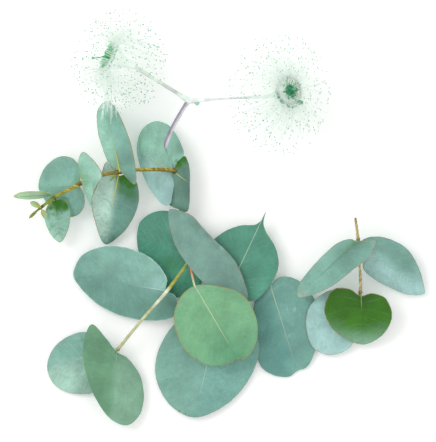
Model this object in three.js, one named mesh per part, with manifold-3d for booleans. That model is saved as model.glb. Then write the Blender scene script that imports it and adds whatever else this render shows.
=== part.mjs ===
// A flowering gum sprig, lying on a flat surface and seen from above (+Z).
// A woody main stem carries opposite round leaves, two side shoots and one stalk
// with two open blossoms, whose funnel cups would ripen into gum nuts.
// Millimetres. The origin is under the main stem, on the surface that it lies on.
import * as THREE from "three";
import { mergeVertices } from "three/addons/utils/BufferGeometryUtils.js";
import Module from "manifold-3d";

const wasm = await Module();
wasm.setup();

// Driving dimensions
const BLADE_THICKNESS = 0.62;
const RIB_RELIEF = 0.25;
const STATIONS = 12;
const COLUMNS = 3;
const STEM_SIDES = 8;
const STEM_STEP = 5;
const MAIN_RADIUS = 1.7;
const STALK_RADIUS = 1.25;
const RIM_RADIUS = 7.4;
const RING_RADIUS = 0.7;
const CUP_GAP = 0.3;
const DISC_RADIUS = 6.2;
const FILAMENT_RADIUS = 0.4;
const FILAMENT_COUNT = 86;
const SEED = 7;

// Colours, as linear-looking greens picked for this plant
const FINISH = {
  wood: { color: 0x9a7a35, roughness: 0.7 },
  green_stem: { color: 0x9da35a, roughness: 0.6 },
  flower_stalk: { color: 0x9a8fa0, roughness: 0.6 },
  glaucous_leaf: { color: 0x86b5a4, roughness: 0.65 },
  fresh_leaf: { color: 0x77b183, roughness: 0.55 },
  deep_leaf: { color: 0x4b8a45, roughness: 0.55 },
  cup: { color: 0xc4dcc6, roughness: 0.6 },
  disc: { color: 0x3f9a68, roughness: 0.55 },
  filament: { color: 0xf4f7f0, roughness: 0.7 },
};

const point = (p) => new THREE.Vector3(...p);

// Routes of the stems: [x, y, z, radius] at each hand-placed point
const LYING_HEIGHT = MAIN_RADIUS * Math.cos(Math.PI / STEM_SIDES);
const MAIN_ROUTE = [
  [0, -34, LYING_HEIGHT, MAIN_RADIUS],
  [0, -15, LYING_HEIGHT, MAIN_RADIUS],
  [0, 3.5, LYING_HEIGHT, MAIN_RADIUS],
  [0, 4, LYING_HEIGHT, MAIN_RADIUS],
  [3.4, 14, 4, 1.6],
  [4.2, 21, 7.4, 1.55],
  [-2.8, 30.6, 11.2, 1.5],
  [-7, 41.5, 9.6, 1.35],
  [-8.6, 53, 8, 1.3],
  [-11.4, 59, 8.2, 1.2],
  [-13.8, 66, 9, 1.2],
  [-13.1, 71, 11, 1.15],
  [-12.7, 73.9, 14.8, 1.15],
  [-13, 74.6, 18, 1.2],
  [-17, 75, 19.2, 1],
  [-31, 75, 20, 0.95],
  [-40, 74, 20.3, 1.1],
  [-48.5, 72.4, 21.2, 0.9],
  [-59.5, 68.2, 20, 1.05],
  [-66, 64.8, 19, 0.9],
  [-72.5, 61.5, 17.5, 1],
  [-79, 56.5, 16, 0.7],
  [-81, 55, 15.5, 0.6],
];
const AXIL_BUDS = [
  { from: [-41.4, 73.2, 20], to: [-44.6, 69.4, 20.6] },
  { from: [-73.6, 60.6, 17.2], to: [-75.2, 56.4, 16.6] },
];
const LOWER_ROUTE = [
  [-5.7, 29.2, 12.9, 0.95],
  [-16.5, 14.5, 13.8, 1.1],
  [-30, -1, 12.4, 0.9],
  [-41.5, -15.2, 10.6, 1.1],
];
const RIGHT_ROUTE = [
  [5.4, 8.9, 1.7, 1.2],
  [11, 10.5, 1.5, 1.2],
  [23, 15, 1.4, 1.15],
  [34, 15, 1.4, 1.2],
  [45, 10, 1.4, 1.1],
  [56, 3.5, 1.6, 1],
  [67.5, 0, 2.6, 0.9],
  [75, 3, 5.5, 0.85],
  [79, 8.5, 9, 0.8],
  [80.2, 14, 12.5, 0.85],
  [79.8, 27, 16.5, 0.7],
  [78.9, 40, 19, 0.85],
  [77.4, 51, 21, 0.65],
];
const STALK_ROUTE = [
  [-14.2, 76, 20.4, 1.1],
  [-16, 81.5, 22.2, STALK_RADIUS],
  [-16.8, 88, 23.2, STALK_RADIUS],
  [-13, 97, 24, STALK_RADIUS],
  [-7.5, 106.5, 24.5, 1.3],
  [-5.5, 109.2, 24.5, 1.5],
];
const LEFT_ARM_ROUTE = [
  [-5.5, 109.2, 24.5, 1.4],
  [-12, 113.5, 25, 1],
  [-21, 119, 25.5, 1.1],
  [-32, 126, 26, 1.9],
];
const RIGHT_ARM_ROUTE = [
  [-5.5, 109.2, 24.5, 1.4],
  [-0.5, 109.5, 24.5, 0.95],
  [12.5, 110.5, 22, 1.05],
  [25, 111.2, 15.6, 1.2],
  [31.5, 111.7, 12.2, 1.5],
  [35, 112, 12.3, 1.8],
  [36.1, 112.2, 13.6, 1.9],
];
const NUB = { at: [-1.4, 108, 24.6], radius: 1.3 };

// Leaves: the midrib's two ends, and its edge as seen from above, in equal numbers of
// points to the left and to the right of the way from base to tip. lift tells how far
// each edge lies above (or below) the midrib, arch how far the midrib itself bows up.
// A third number on an edge point is its own height, where leaves pass each other closely.
const LEAVES = {
  upper_leaf_1a: {
    base: [-14.7, 73.9, 17], end: [-31.7, 84.5, 6], arch: 1.6, lift: [0.4, -1.2],
    left: [[-11.8, 69.5], [-11.7, 62], [-12.7, 57.9], [-15.8, 56.4], [-25, 65.8]],
    right: [[-13, 79], [-12.9, 88], [-15.6, 97.2], [-22, 99.4], [-29, 95.6]],
  },
  upper_leaf_1b: {
    base: [-10.8, 74.6, 18.2], end: [-5.1, 68, 12.5], arch: 2.6, lift: [-0.9, -4.5],
    left: [[-12.2, 88], [-10.8, 94.9], [-7.2, 85]],
    right: [[-10.8, 64.5], [-10.6, 55.4], [-6.8, 55.2]],
  },
  upper_leaf_2a: {
    base: [-39.9, 74.4, 22.7], end: [-47.6, 109.4, 7], arch: 1.2, lift: [-2, 8],
    left: [[-44.9, 77.5], [-50.1, 90], [-51.6, 103]],
    right: [[-32.2, 67.6], [-33.6, 85.5], [-40.4, 101]],
  },
  upper_leaf_2b: {
    base: [-40.7, 72.2, 18.4], end: [-47.6, 37.8, 3], arch: 1.5, lift: [-1, 6.6],
    left: [[-36.2, 70.8], [-31.8, 67.8], [-30.5, 60.4], [-34, 50], [-40.4, 42]],
    right: [[-45, 76.8, 18.3], [-48.4, 76.6, 18.4], [-49.8, 69.4, 18.4], [-54, 60.8, 17.9], [-52.8, 50, 12]],
  },
  upper_leaf_3a: {
    base: [-59, 69.8, 22.6], end: [-48.4, 72, 26.5], arch: 0.5, lift: [4, 0],
    left: [[-60.2, 74.4], [-60.2, 80.4], [-57.9, 83.8], [-53.8, 80.8], [-50, 76]],
    right: [[-58, 65.2, 19], [-55.9, 59.4, 11], [-53.4, 55, 7.8], [-54.2, 61, 14], [-52.2, 66.2, 20]],
  },
  upper_leaf_3b: {
    base: [-60, 67.3, 18.2], end: [-81, 66, 5], arch: 1.5, lift: [-4, -2.5],
    left: [[-57.7, 62], [-58.6, 55.4], [-63.5, 51.6], [-73, 55]],
    right: [[-59.8, 75.8], [-63.8, 80.9], [-70.5, 81.8], [-78, 76.2]],
  },
  upper_leaf_4a: {
    base: [-73.6, 62.8, 18.6], end: [-93, 61.6, 18.5], arch: 0.5, lift: [-5, 5.5],
    left: [[-78, 61], [-84, 60.3], [-90, 60.5]],
    right: [[-77.5, 64], [-84, 64.4], [-90, 63.6]],
  },
  upper_leaf_4b: {
    base: [-72, 59.9, 15.8], end: [-70.2, 38.7, 8], arch: 1, lift: [-0.8, -0.8],
    left: [[-67.4, 60.4], [-64.9, 52.3], [-66.4, 44.2]],
    right: [[-75.6, 58.4], [-77.8, 51.2], [-75, 43]],
  },
  upper_leaf_5a: {
    base: [-79.7, 57.5, 17.2], end: [-84.4, 60, 20.5], lift: [-0.4, -0.6], small: true,
    left: [[-81, 57], [-83, 57.2], [-84.3, 58.5]],
    right: [[-79.8, 58.8], [-81.2, 60.2], [-83, 60.8]],
  },
  upper_leaf_5b: {
    base: [-79.1, 55.2, 15.7], end: [-76.8, 50.4, 14.6], lift: [-0.3, -0.3], small: true,
    left: [[-77.9, 55.2], [-76.5, 53.6], [-76.1, 51.8]],
    right: [[-79.5, 53.8], [-79.2, 52.4], [-78.1, 50.9]],
  },
  middle_leaf_1: {
    base: [-9.2, 54.3, 12.1], end: [23.2, 15.5, 9.6], arch: 1, lift: [1.5, 4.6],
    left: [[-4.4, 52.6], [2.4, 43.9], [7.2, 39.3], [15.2, 32.6], [20.7, 24.5]],
    right: [[-15.4, 55.2], [-12.6, 38], [-6, 27.4], [2.5, 18.6], [12.4, 13.8]],
    stalk: [-8.8, 50.6, 10],
  },
  middle_leaf_2: {
    base: [-4.9, 31.2, 9.2], end: [-31.8, 42, 2.5], arch: 1, lift: [-1.8, -1.2],
    left: [[0.8, 17.6, 6.4], [-10.5, 11], [-21, 14.5], [-30, 31]],
    right: [[-8.6, 44], [-14.4, 54], [-23, 54], [-29.8, 49.4]],
  },
  middle_leaf_3: {
    base: [-17, 14.6, 12], end: [-63.8, 22.4, 4], arch: 0.5, lift: [-2.2, 2.6],
    left: [[-13.6, 4.4], [-22, -0.4], [-36, 0.9], [-50, 6.6], [-60, 15.8]],
    right: [[-16.4, 20.4], [-23, 29.8], [-35, 35.8], [-49, 36.7], [-59.6, 32]],
  },
  middle_leaf_4: {
    base: [-2.6, 17.2, 16], end: [18, -21, 15], arch: 1.6, lift: [3, -0.6],
    left: [[9.5, 17], [22, 12.2], [28.8, -2], [26.4, -15.2]],
    right: [[-9.2, 12.4], [-13.1, 1], [-8.2, -14], [3.4, -22.3]],
    stalk: [-4.4, 27.6, 13.1],
  },
  middle_leaf_5: {
    base: [9.5, 2, 6], end: [-3, -49.2, 4.2], arch: 0.4, lift: [-2.2, -3.2],
    left: [[24.2, 0], [29.8, -12.5], [25.8, -28], [13.8, -42.4]],
    right: [[-9, 1], [-21, -15.4], [-22.1, -30], [-14.6, -43.6]],
    stalk: [10.4, 9, 2.9],
  },
  middle_leaf_6: {
    base: [13.5, 13, 5], end: [32.9, 54, 9.5], arch: 0.8, lift: [-1.2, 0.5], spike: true,
    left: [[3, 23], [4.4, 37], [11, 43.6], [20, 47], [28.3, 48]],
    right: [[26.5, 9.4], [34.4, 16.2], [39.5, 27], [37.6, 37], [32.2, 44.6]],
    stalk: [11.6, 11.2, 3.1],
  },
  middle_leaf_7: {
    base: [35.2, 17.4, 4.6], end: [48.9, -26, 1.2], arch: 0.4, lift: [0.9, -1.2],
    left: [[41, 21.6], [50, 19.4], [57.6, 10], [59.8, -2], [57.8, -15.6], [54, -23.8]],
    right: [[28, 10.6], [26.4, -1.5], [27.4, -14.6], [31, -24.2], [37.3, -28.2], [44.6, -28.9]],
    stalk: [34.2, 15.4, 2.9],
  },
  lower_leaf_a: {
    base: [-41.7, -16, 11.8], end: [-44.5, -49.8, 10.5], arch: 1, lift: [-6.4, 5.5],
    left: [[-36.6, -19], [-30, -28.4], [-28.3, -39.5], [-30.6, -48.4], [-36.5, -53]],
    right: [[-46.6, -9.4], [-54.2, -2], [-58.3, -13], [-56.4, -28.6], [-51.2, -41]],
  },
  lower_leaf_b: {
    base: [-42.3, -15.7, 9.6], end: [-77, -23.6, 0.9], arch: 0.6, lift: [-2, -1.5],
    left: [[-44.4, -25.6], [-50.5, -35.4], [-62, -37.6], [-73, -33.4]],
    right: [[-47.6, -11.2], [-54.6, -6.6], [-63, -7], [-73, -13.6]],
  },
  right_leaf_1a: {
    base: [78, 39.6, 20.3], end: [49.3, 11.5, 9], arch: 1, lift: [7.5, -0.6],
    left: [[87.2, 39.8], [84.6, 32.4], [76, 25], [66.5, 17.4], [56, 12.4]],
    right: [[75.4, 40.6], [69, 38.8], [61, 31.9], [53.5, 23.6], [49, 16.8]],
  },
  right_leaf_1b: {
    base: [80.2, 39.2, 17.9], end: [112.7, 13, 3], arch: 2, lift: [-0.6, -3.4],
    left: [[86, 41.8], [95, 40.5], [103.5, 35.8], [109, 27.8], [111.8, 19.6]],
    right: [[81.4, 32], [81.8, 25.4], [88, 20], [96, 15.6], [104.8, 12.5]],
  },
  right_leaf_2a: {
    base: [80.5, 12.2, 13.9], end: [82, -12.5, 5.2], arch: 1, lift: [3, 5],
    left: [[86, 13.4], [92.4, 11.2], [96.2, 2.8], [92.6, -6.4]],
    right: [[74.2, 15.8], [66.2, 15.2], [62.1, 5.6], [67.4, -5.8]],
  },
  right_leaf_2b: {
    base: [73.8, 4.4, 7.4], end: [53.3, -4.5, 4.2], arch: 0.4, lift: [-2.2, 0.5],
    left: [[78, -5], [75.2, -14.2], [66, -17.9], [57.4, -14.8]],
    right: [[76, 11.4], [69, 15.4], [60.6, 12.4], [54.4, 5.4]],
  },
};
const LEAF_STALK_RADIUS = 0.55;

// Blossoms: the cup's foot, the middle of its rim, and the round cloud that the
// filaments reach out to
const BLOSSOMS = {
  left: { foot: [-32, 126, 26], rim: [-43.5, 129.8, 27.8], cloud: [-40, 128.4, 26.4], reach: [23.5, 25.5, 25.5], style: 9.5 },
  right: { foot: [36.5, 112.3, 14.2], rim: [44.2, 114.2, 27.2], cloud: [39.4, 112.6, 24], reach: [25, 30.5, 23.5], style: 4.5 },
};

function seededRandom(seed) {
  let state = seed;
  return () => {
    state = (state * 1664525 + 1013904223) % 4294967296;
    return state / 4294967296;
  };
}

function solidOf(geometry) {
  const bare = geometry.clone();
  bare.deleteAttribute("normal");
  bare.deleteAttribute("uv");
  const merged = mergeVertices(bare, 1e-4);
  return new wasm.Manifold(
    new wasm.Mesh({
      numProp: 3,
      vertProperties: new Float32Array(merged.attributes.position.array),
      triVerts: new Uint32Array(merged.index.array),
    }),
  );
}

function geometryOf(solid) {
  const mesh = solid.getMesh();
  const geometry = new THREE.BufferGeometry();
  geometry.setAttribute("position", new THREE.BufferAttribute(mesh.vertProperties, 3));
  geometry.setIndex(new THREE.BufferAttribute(mesh.triVerts, 1));
  geometry.computeVertexNormals();
  return geometry;
}

function fuse(solids) {
  return wasm.Manifold.union(solids);
}

// A round shape turned about +Y is bent so that its Y runs along the curve.
function bendAlong(geometry, curve, length) {
  const position = geometry.attributes.position;
  const up = new THREE.Vector3(0, 0, 1);
  for (let i = 0; i < position.count; i++) {
    const share = THREE.MathUtils.clamp(position.getY(i) / length, 0, 1);
    const overrun = position.getY(i) - share * length;
    const along = curve.getTangentAt(share);
    const side = new THREE.Vector3().crossVectors(along, up).normalize();
    const top = new THREE.Vector3().crossVectors(side, along);
    const at = curve.getPointAt(share).addScaledVector(along, overrun);
    at.addScaledVector(side, position.getX(i)).addScaledVector(top, position.getZ(i));
    position.setXYZ(i, at.x, at.y, at.z);
  }
  return geometry;
}

// A stem along a route, with a rounded end and its radius eased from point to point
function stem(route, sides = STEM_SIDES) {
  const curve = new THREE.CatmullRomCurve3(route.map(([x, y, z]) => new THREE.Vector3(x, y, z)), false, "centripetal");
  const length = curve.getLength();
  const steps = Math.ceil(length / STEM_STEP);
  const lengths = curve.getLengths(20 * (route.length - 1));
  const lengthTo = route.map((r, i) => lengths[20 * i]);
  const radiusAt = (d) => {
    const next = Math.max(1, lengthTo.findIndex((l) => l >= d - 1e-6));
    const share = (d - lengthTo[next - 1]) / (lengthTo[next] - lengthTo[next - 1]);
    return THREE.MathUtils.lerp(route[next - 1][3], route[next][3], THREE.MathUtils.clamp(share, 0, 1));
  };
  const profile = [new THREE.Vector2(0, 0)];
  for (let i = 0; i <= steps; i++) {
    const d = (length * i) / steps;
    profile.push(new THREE.Vector2(radiusAt(d), d));
  }
  const last = route.at(-1)[3];
  profile.push(new THREE.Vector2(last * 0.75, length + last * 0.15));
  profile.push(new THREE.Vector2(0, length + last * 0.2));
  const round = new THREE.LatheGeometry(profile, sides, Math.PI / sides);
  return solidOf(bendAlong(round, curve, length));
}

// The curves that a leaf is drawn with: its midrib, and its whole edge as one loop
// that runs from the base along the left edge to the tip and back along the right one.
function leafCurves(leaf) {
  const base = point(leaf.base);
  const end = point(leaf.end);
  const bend = base.clone().add(end).multiplyScalar(0.5);
  bend.z += 2 * (leaf.arch ?? 0);
  const edge = (rows, lift) =>
    rows.map(([x, y, z], i) => {
      const share = (i + 1) / (rows.length + 1);
      const eased = THREE.MathUtils.lerp(base.z, end.z, share) + lift * Math.sin(Math.PI * share);
      return new THREE.Vector3(x, y, z ?? eased);
    });
  const left = edge(leaf.left, leaf.lift[0]);
  const right = edge(leaf.right, leaf.lift[1]);
  const loop = new THREE.CatmullRomCurve3([base, ...left, end, ...right.reverse()], true, "centripetal");
  return { midrib: new THREE.QuadraticBezierCurve3(base, bend, end), loop };
}

// The blade's middle surface: share runs from base (0) to tip (1), reach from the
// left edge (-1) over the midrib (0) to the right edge (1).
function bladePoint(curves, share, reach) {
  const rib = curves.midrib.getPoint(share);
  const edge = curves.loop.getPoint(reach < 0 ? share / 2 : 1 - share / 2);
  const out = Math.abs(reach);
  const at = rib.clone().lerp(edge, out);
  at.z = rib.z + (edge.z - rib.z) * Math.pow(out, 1.4);
  return at;
}

function bladeNormal(curves, share, reach) {
  const along = THREE.MathUtils.clamp(share, 0.04, 0.96);
  const across = THREE.MathUtils.clamp(reach, -0.97, 0.97);
  const ahead = bladePoint(curves, along + 0.02, across).sub(bladePoint(curves, along - 0.02, across));
  const aside = bladePoint(curves, along, across + 0.03).sub(bladePoint(curves, along, across - 0.03));
  return aside.cross(ahead).normalize();
}

function blade(leaf) {
  const curves = leafCurves(leaf);
  const stations = leaf.small ? 7 : STATIONS;
  const columns = leaf.small ? 2 : COLUMNS;
  const upper = [];
  const lower = [];
  for (let i = 0; i <= stations; i++) {
    const share = (1 - Math.cos((Math.PI * i) / stations)) / 2;
    const rows = [[], []];
    for (let j = -columns; j <= columns; j++) {
      const reach = j / columns;
      const atEnd = i === 0 || i === stations;
      const at = bladePoint(curves, share, atEnd ? 0 : reach);
      const normal = bladeNormal(curves, share, atEnd ? 0 : reach);
      const rib = j === 0 && !atEnd ? RIB_RELIEF : 0;
      rows[0].push(at.clone().addScaledVector(normal, BLADE_THICKNESS / 2));
      rows[1].push(at.clone().addScaledVector(normal, -BLADE_THICKNESS / 2 - rib));
    }
    upper.push(rows[0]);
    lower.push(rows[1]);
  }
  const corners = [];
  const triangle = (a, b, c) => corners.push(...a.toArray(), ...b.toArray(), ...c.toArray());
  const k = 2 * columns;
  for (let i = 0; i < stations; i++) {
    for (let j = 0; j < k; j++) {
      if (i > 0) {
        triangle(upper[i][j], upper[i][j + 1], upper[i + 1][j + 1]);
        triangle(lower[i][j], lower[i + 1][j + 1], lower[i][j + 1]);
      }
      if (i < stations - 1) {
        triangle(upper[i][j], upper[i + 1][j + 1], upper[i + 1][j]);
        triangle(lower[i][j], lower[i + 1][j], lower[i + 1][j + 1]);
      }
    }
    triangle(upper[i][0], upper[i + 1][0], lower[i + 1][0]);
    triangle(upper[i][0], lower[i + 1][0], lower[i][0]);
    triangle(upper[i + 1][k], upper[i][k], lower[i][k]);
    triangle(upper[i + 1][k], lower[i][k], lower[i + 1][k]);
  }
  const geometry = new THREE.BufferGeometry();
  geometry.setAttribute("position", new THREE.Float32BufferAttribute(corners, 3));
  return solidOf(geometry);
}

function leafSolid(leaf) {
  const body = blade(leaf);
  if (!leaf.stalk) return body;
  const [start, foot, inside] = [point(leaf.stalk), point(leaf.base), leafCurves(leaf).midrib.getPoint(0.12)];
  const route = [start, foot, inside].map((p) => [p.x, p.y, p.z, LEAF_STALK_RADIUS]);
  return fuse([body, stem(route, 6)]);
}

function blossomAxis(blossom) {
  return point(blossom.rim).sub(point(blossom.foot)).normalize();
}

// Stands a shape that is turned about +Y on a point, along a direction.
function stand(geometry, at, direction) {
  const turn = new THREE.Quaternion().setFromUnitVectors(new THREE.Vector3(0, 1, 0), direction);
  return geometry.applyQuaternion(turn).translate(at.x, at.y, at.z);
}

function cupSolid(blossom) {
  const axis = blossomAxis(blossom);
  const height = point(blossom.rim).distanceTo(point(blossom.foot)) - RING_RADIUS - CUP_GAP;
  const profile = [
    [0, 0.9],
    [1.9, 0.9],
    [2.4, height * 0.3],
    [3.4, height * 0.55],
    [5.2, height * 0.8],
    [RIM_RADIUS - 0.1, height * 0.97],
    [RIM_RADIUS - 0.2, height],
    [RIM_RADIUS - 0.9, height],
    [0, height - 1.6],
  ];
  const turned = new THREE.LatheGeometry(profile.map(([r, y]) => new THREE.Vector2(r, y)), 20);
  return solidOf(stand(turned, point(blossom.foot), axis));
}

// The green disc in the cup's mouth, with the style at its middle and short inner stamens
function discSolid(blossom) {
  const axis = blossomAxis(blossom);
  const rim = point(blossom.rim);
  const low = -RING_RADIUS - 0.4;
  const dome = [
    [0, low],
    [4.6, low],
    [DISC_RADIUS, 0.1],
    [DISC_RADIUS - 0.8, 1],
    [3, 1.6],
    [0, 1.4],
  ];
  const style = [
    [0, 0],
    [0.75, 0],
    [0.42, 2.2],
    [0.42, blossom.style],
    [0.8, blossom.style + 0.4],
    [0.7, blossom.style + 1],
    [0, blossom.style + 1.2],
  ];
  const shape = (rows, sides) => {
    const turned = new THREE.LatheGeometry(rows.map(([r, y]) => new THREE.Vector2(r, y)), sides);
    return solidOf(stand(turned, rim, axis));
  };
  const solids = [shape(dome, 14), shape(style, 6)];
  const [sideways, across] = ringSides(axis);
  const rings = [
    { count: 11, radius: 5.2, lean: 1.1, length: 3.4 },
    { count: 6, radius: 3.1, lean: 0.7, length: 3 },
  ];
  for (const ring of rings) {
    for (let i = 0; i < ring.count; i++) {
      const angle = (2 * Math.PI * i) / ring.count + ring.radius;
      const out = sideways.clone().multiplyScalar(Math.cos(angle)).addScaledVector(across, Math.sin(angle));
      const root = rim.clone().addScaledVector(out, ring.radius - 0.6).addScaledVector(axis, 0.4);
      const lean = axis.clone().addScaledVector(out, ring.lean - 0.9).normalize();
      const tip = root.clone().addScaledVector(lean, ring.length);
      solids.push(needle([root, tip], FILAMENT_RADIUS + 0.05, FILAMENT_RADIUS));
    }
  }
  return fuse(solids);
}

function ringSides(axis) {
  const sideways = new THREE.Vector3().crossVectors(axis, new THREE.Vector3(0, 0, 1)).normalize();
  if (sideways.lengthSq() < 0.5) sideways.set(1, 0, 0);
  return [sideways, new THREE.Vector3().crossVectors(axis, sideways)];
}

// A three-sided needle through a few points
function needle(points, startRadius, endRadius) {
  const rings = points.map((p, i) => {
    const ahead = points[Math.min(i + 1, points.length - 1)];
    const behind = points[Math.max(i - 1, 0)];
    const [a, b] = ringSides(ahead.clone().sub(behind).normalize());
    const radius = THREE.MathUtils.lerp(startRadius, endRadius, i / (points.length - 1));
    return [0, 1, 2].map((k) => {
      const angle = (2 * Math.PI * k) / 3;
      return p.clone().addScaledVector(a, radius * Math.cos(angle)).addScaledVector(b, radius * Math.sin(angle));
    });
  });
  const corners = [];
  const triangle = (...three) => three.forEach((p) => corners.push(...p.toArray()));
  for (let i = 0; i + 1 < rings.length; i++) {
    for (let k = 0; k < 3; k++) {
      const next = (k + 1) % 3;
      triangle(rings[i][k], rings[i][next], rings[i + 1][next]);
      triangle(rings[i][k], rings[i + 1][next], rings[i + 1][k]);
    }
  }
  triangle(rings[0][0], rings[0][2], rings[0][1]);
  const top = rings.at(-1);
  triangle(top[0], top[1], top[2]);
  const geometry = new THREE.BufferGeometry();
  geometry.setAttribute("position", new THREE.Float32BufferAttribute(corners, 3));
  return solidOf(geometry);
}

// Directions spread evenly over a ball
function spreadDirections(count) {
  const golden = Math.PI * (3 - Math.sqrt(5));
  return Array.from({ length: count }, (_, i) => {
    const z = 1 - (2 * (i + 0.5)) / count;
    const r = Math.sqrt(1 - z * z);
    return new THREE.Vector3(r * Math.cos(golden * i), r * Math.sin(golden * i), z);
  });
}

// The line of one filament: out of the ring, then over to its place in the cloud
function filamentLine(blossom, axis, direction, random) {
  const rim = point(blossom.rim);
  const reach = point(blossom.reach).multiplyScalar(0.86 + 0.14 * random());
  const tip = point(blossom.cloud).add(direction.clone().multiply(reach));
  const toTip = tip.clone().sub(rim);
  const forward = toTip.dot(axis);
  const out = toTip.clone().addScaledVector(axis, -forward);
  if (out.length() < RIM_RADIUS + 0.6) return null;
  const sideways = out.clone().normalize();
  const root = rim.clone().addScaledVector(sideways, RIM_RADIUS + 0.2);
  const lean = forward > 0 ? 0.55 : 0.15;
  const bend = root.clone().addScaledVector(sideways, out.length() * 0.42).addScaledVector(axis, forward * lean + 1.5);
  return new THREE.QuadraticBezierCurve3(root, bend, tip);
}

function clearOf(line, others, distance) {
  return [0.3, 0.45, 0.6, 0.75, 0.9, 1].every((share) =>
    others.every((other) => line.getPoint(share).distanceTo(other) > distance),
  );
}

// Points on the stalks that no filament may come near
function stalkPoints() {
  return [STALK_ROUTE, LEFT_ARM_ROUTE, RIGHT_ARM_ROUTE].flatMap((route) => {
    const curve = new THREE.CatmullRomCurve3(route.map(([x, y, z]) => new THREE.Vector3(x, y, z)), false, "centripetal");
    return curve.getSpacedPoints(24);
  });
}

function stamensSolid(blossom, random) {
  const axis = blossomAxis(blossom);
  const ring = [];
  for (let i = 0; i <= 6; i++) {
    const angle = (2 * Math.PI * i) / 6;
    ring.push(new THREE.Vector2(RIM_RADIUS + RING_RADIUS * Math.cos(angle), RING_RADIUS * Math.sin(angle)));
  }
  const solids = [solidOf(stand(new THREE.LatheGeometry(ring, 24), point(blossom.rim), axis))];
  const avoid = stalkPoints();
  for (const direction of spreadDirections(FILAMENT_COUNT)) {
    const line = filamentLine(blossom, axis, direction, random);
    if (!line || !clearOf(line, avoid, 3.4)) continue;
    const middle = line.getPoint(0.5);
    solids.push(needle([line.getPoint(0), middle, line.getPoint(1)], FILAMENT_RADIUS, FILAMENT_RADIUS));
  }
  return fuse(solids);
}

// A tight pair of unopened leaves at the shoot's tip
function tipBudSolid() {
  const start = new THREE.Vector3(-81.7, 54.5, 15.3);
  const along = new THREE.Vector3(-3.9, -3.9, -1.2);
  const length = along.length();
  const profile = [
    [0, 0],
    [0.5, 0],
    [0.95, length * 0.4],
    [0.75, length * 0.75],
    [0, length],
  ];
  const turned = new THREE.LatheGeometry(profile.map(([r, y]) => new THREE.Vector2(r, y)), 8);
  return solidOf(stand(turned, start, along.normalize()));
}

function mainStemSolid() {
  const buds = AXIL_BUDS.map((bud) => needle([point(bud.from), point(bud.to)], 0.6, 0.3));
  return fuse([stem(MAIN_ROUTE), ...buds]);
}

function stalkSolid() {
  const nub = new THREE.SphereGeometry(NUB.radius, 10, 8).translate(...NUB.at);
  return fuse([stem(STALK_ROUTE), stem(LEFT_ARM_ROUTE), stem(RIGHT_ARM_ROUTE), solidOf(nub)]);
}

function leafFinish(name) {
  if (name === "middle_leaf_4") return "fresh_leaf";
  if (name === "right_leaf_2a") return "deep_leaf";
  return "glaucous_leaf";
}

function add(group, name, finish, solid) {
  const mesh = new THREE.Mesh(geometryOf(solid), new THREE.MeshStandardMaterial({ ...FINISH[finish], metalness: 0 }));
  mesh.name = name;
  group.add(mesh);
}

function buildSprig() {
  const group = new THREE.Group();
  add(group, "main_stem", "wood", mainStemSolid());
  add(group, "lower_shoot_stem", "green_stem", stem(LOWER_ROUTE));
  add(group, "right_shoot_stem", "wood", stem(RIGHT_ROUTE));
  add(group, "flower_stalk", "flower_stalk", stalkSolid());
  add(group, "tip_bud", "fresh_leaf", tipBudSolid());
  for (const [name, leaf] of Object.entries(LEAVES)) {
    add(group, name, leafFinish(name), leafSolid(leaf));
  }
  const random = seededRandom(SEED);
  for (const [side, blossom] of Object.entries(BLOSSOMS)) {
    add(group, `${side}_blossom_cup`, "cup", cupSolid(blossom));
    add(group, `${side}_blossom_disc`, "disc", discSolid(blossom));
    add(group, `${side}_blossom_stamens`, "filament", stamensSolid(blossom, random));
  }
  return group;
}

const sprig = buildSprig();
export default sprig;
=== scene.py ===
"""A flowering gum tree sprig that lies on a pale surface, seen from straight above.

Every leaf blade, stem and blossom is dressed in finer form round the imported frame. The
blades are grids laid over each leaf's measured outline and thickened, the stems are grids
rolled round their routes, and the blossoms are turned cups with hundreds of filaments.
"""
import math
import random

import bpy
import numpy as np
from bpy.props import FloatProperty, FloatVectorProperty, IntProperty, PointerProperty
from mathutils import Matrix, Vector, noise


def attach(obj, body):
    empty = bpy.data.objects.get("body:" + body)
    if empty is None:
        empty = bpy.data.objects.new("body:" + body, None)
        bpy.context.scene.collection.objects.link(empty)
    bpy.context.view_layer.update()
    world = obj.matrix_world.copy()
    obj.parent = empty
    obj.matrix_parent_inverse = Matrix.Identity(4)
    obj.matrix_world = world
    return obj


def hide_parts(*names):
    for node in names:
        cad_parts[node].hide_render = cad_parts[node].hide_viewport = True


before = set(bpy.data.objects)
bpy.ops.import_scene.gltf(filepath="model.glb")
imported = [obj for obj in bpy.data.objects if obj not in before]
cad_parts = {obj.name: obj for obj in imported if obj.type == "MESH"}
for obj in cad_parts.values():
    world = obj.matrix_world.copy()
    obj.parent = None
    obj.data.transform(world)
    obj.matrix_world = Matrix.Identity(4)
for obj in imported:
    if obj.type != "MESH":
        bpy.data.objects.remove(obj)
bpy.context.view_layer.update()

bl_info = {
    "name": "Flowering gum sprig",
    "version": (1, 0, 0),
    "blender": (4, 5, 0),
    "location": "View3D > Sidebar > Gum Sprig",
    "description": "Models a gum tree sprig with round leaves and two brush blossoms",
    "category": "Add Mesh",
}

# Places and sizes in the tables are in millimetres: MM turns them into Blender's metres.
MM = 0.001
BODY = "root"

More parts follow.
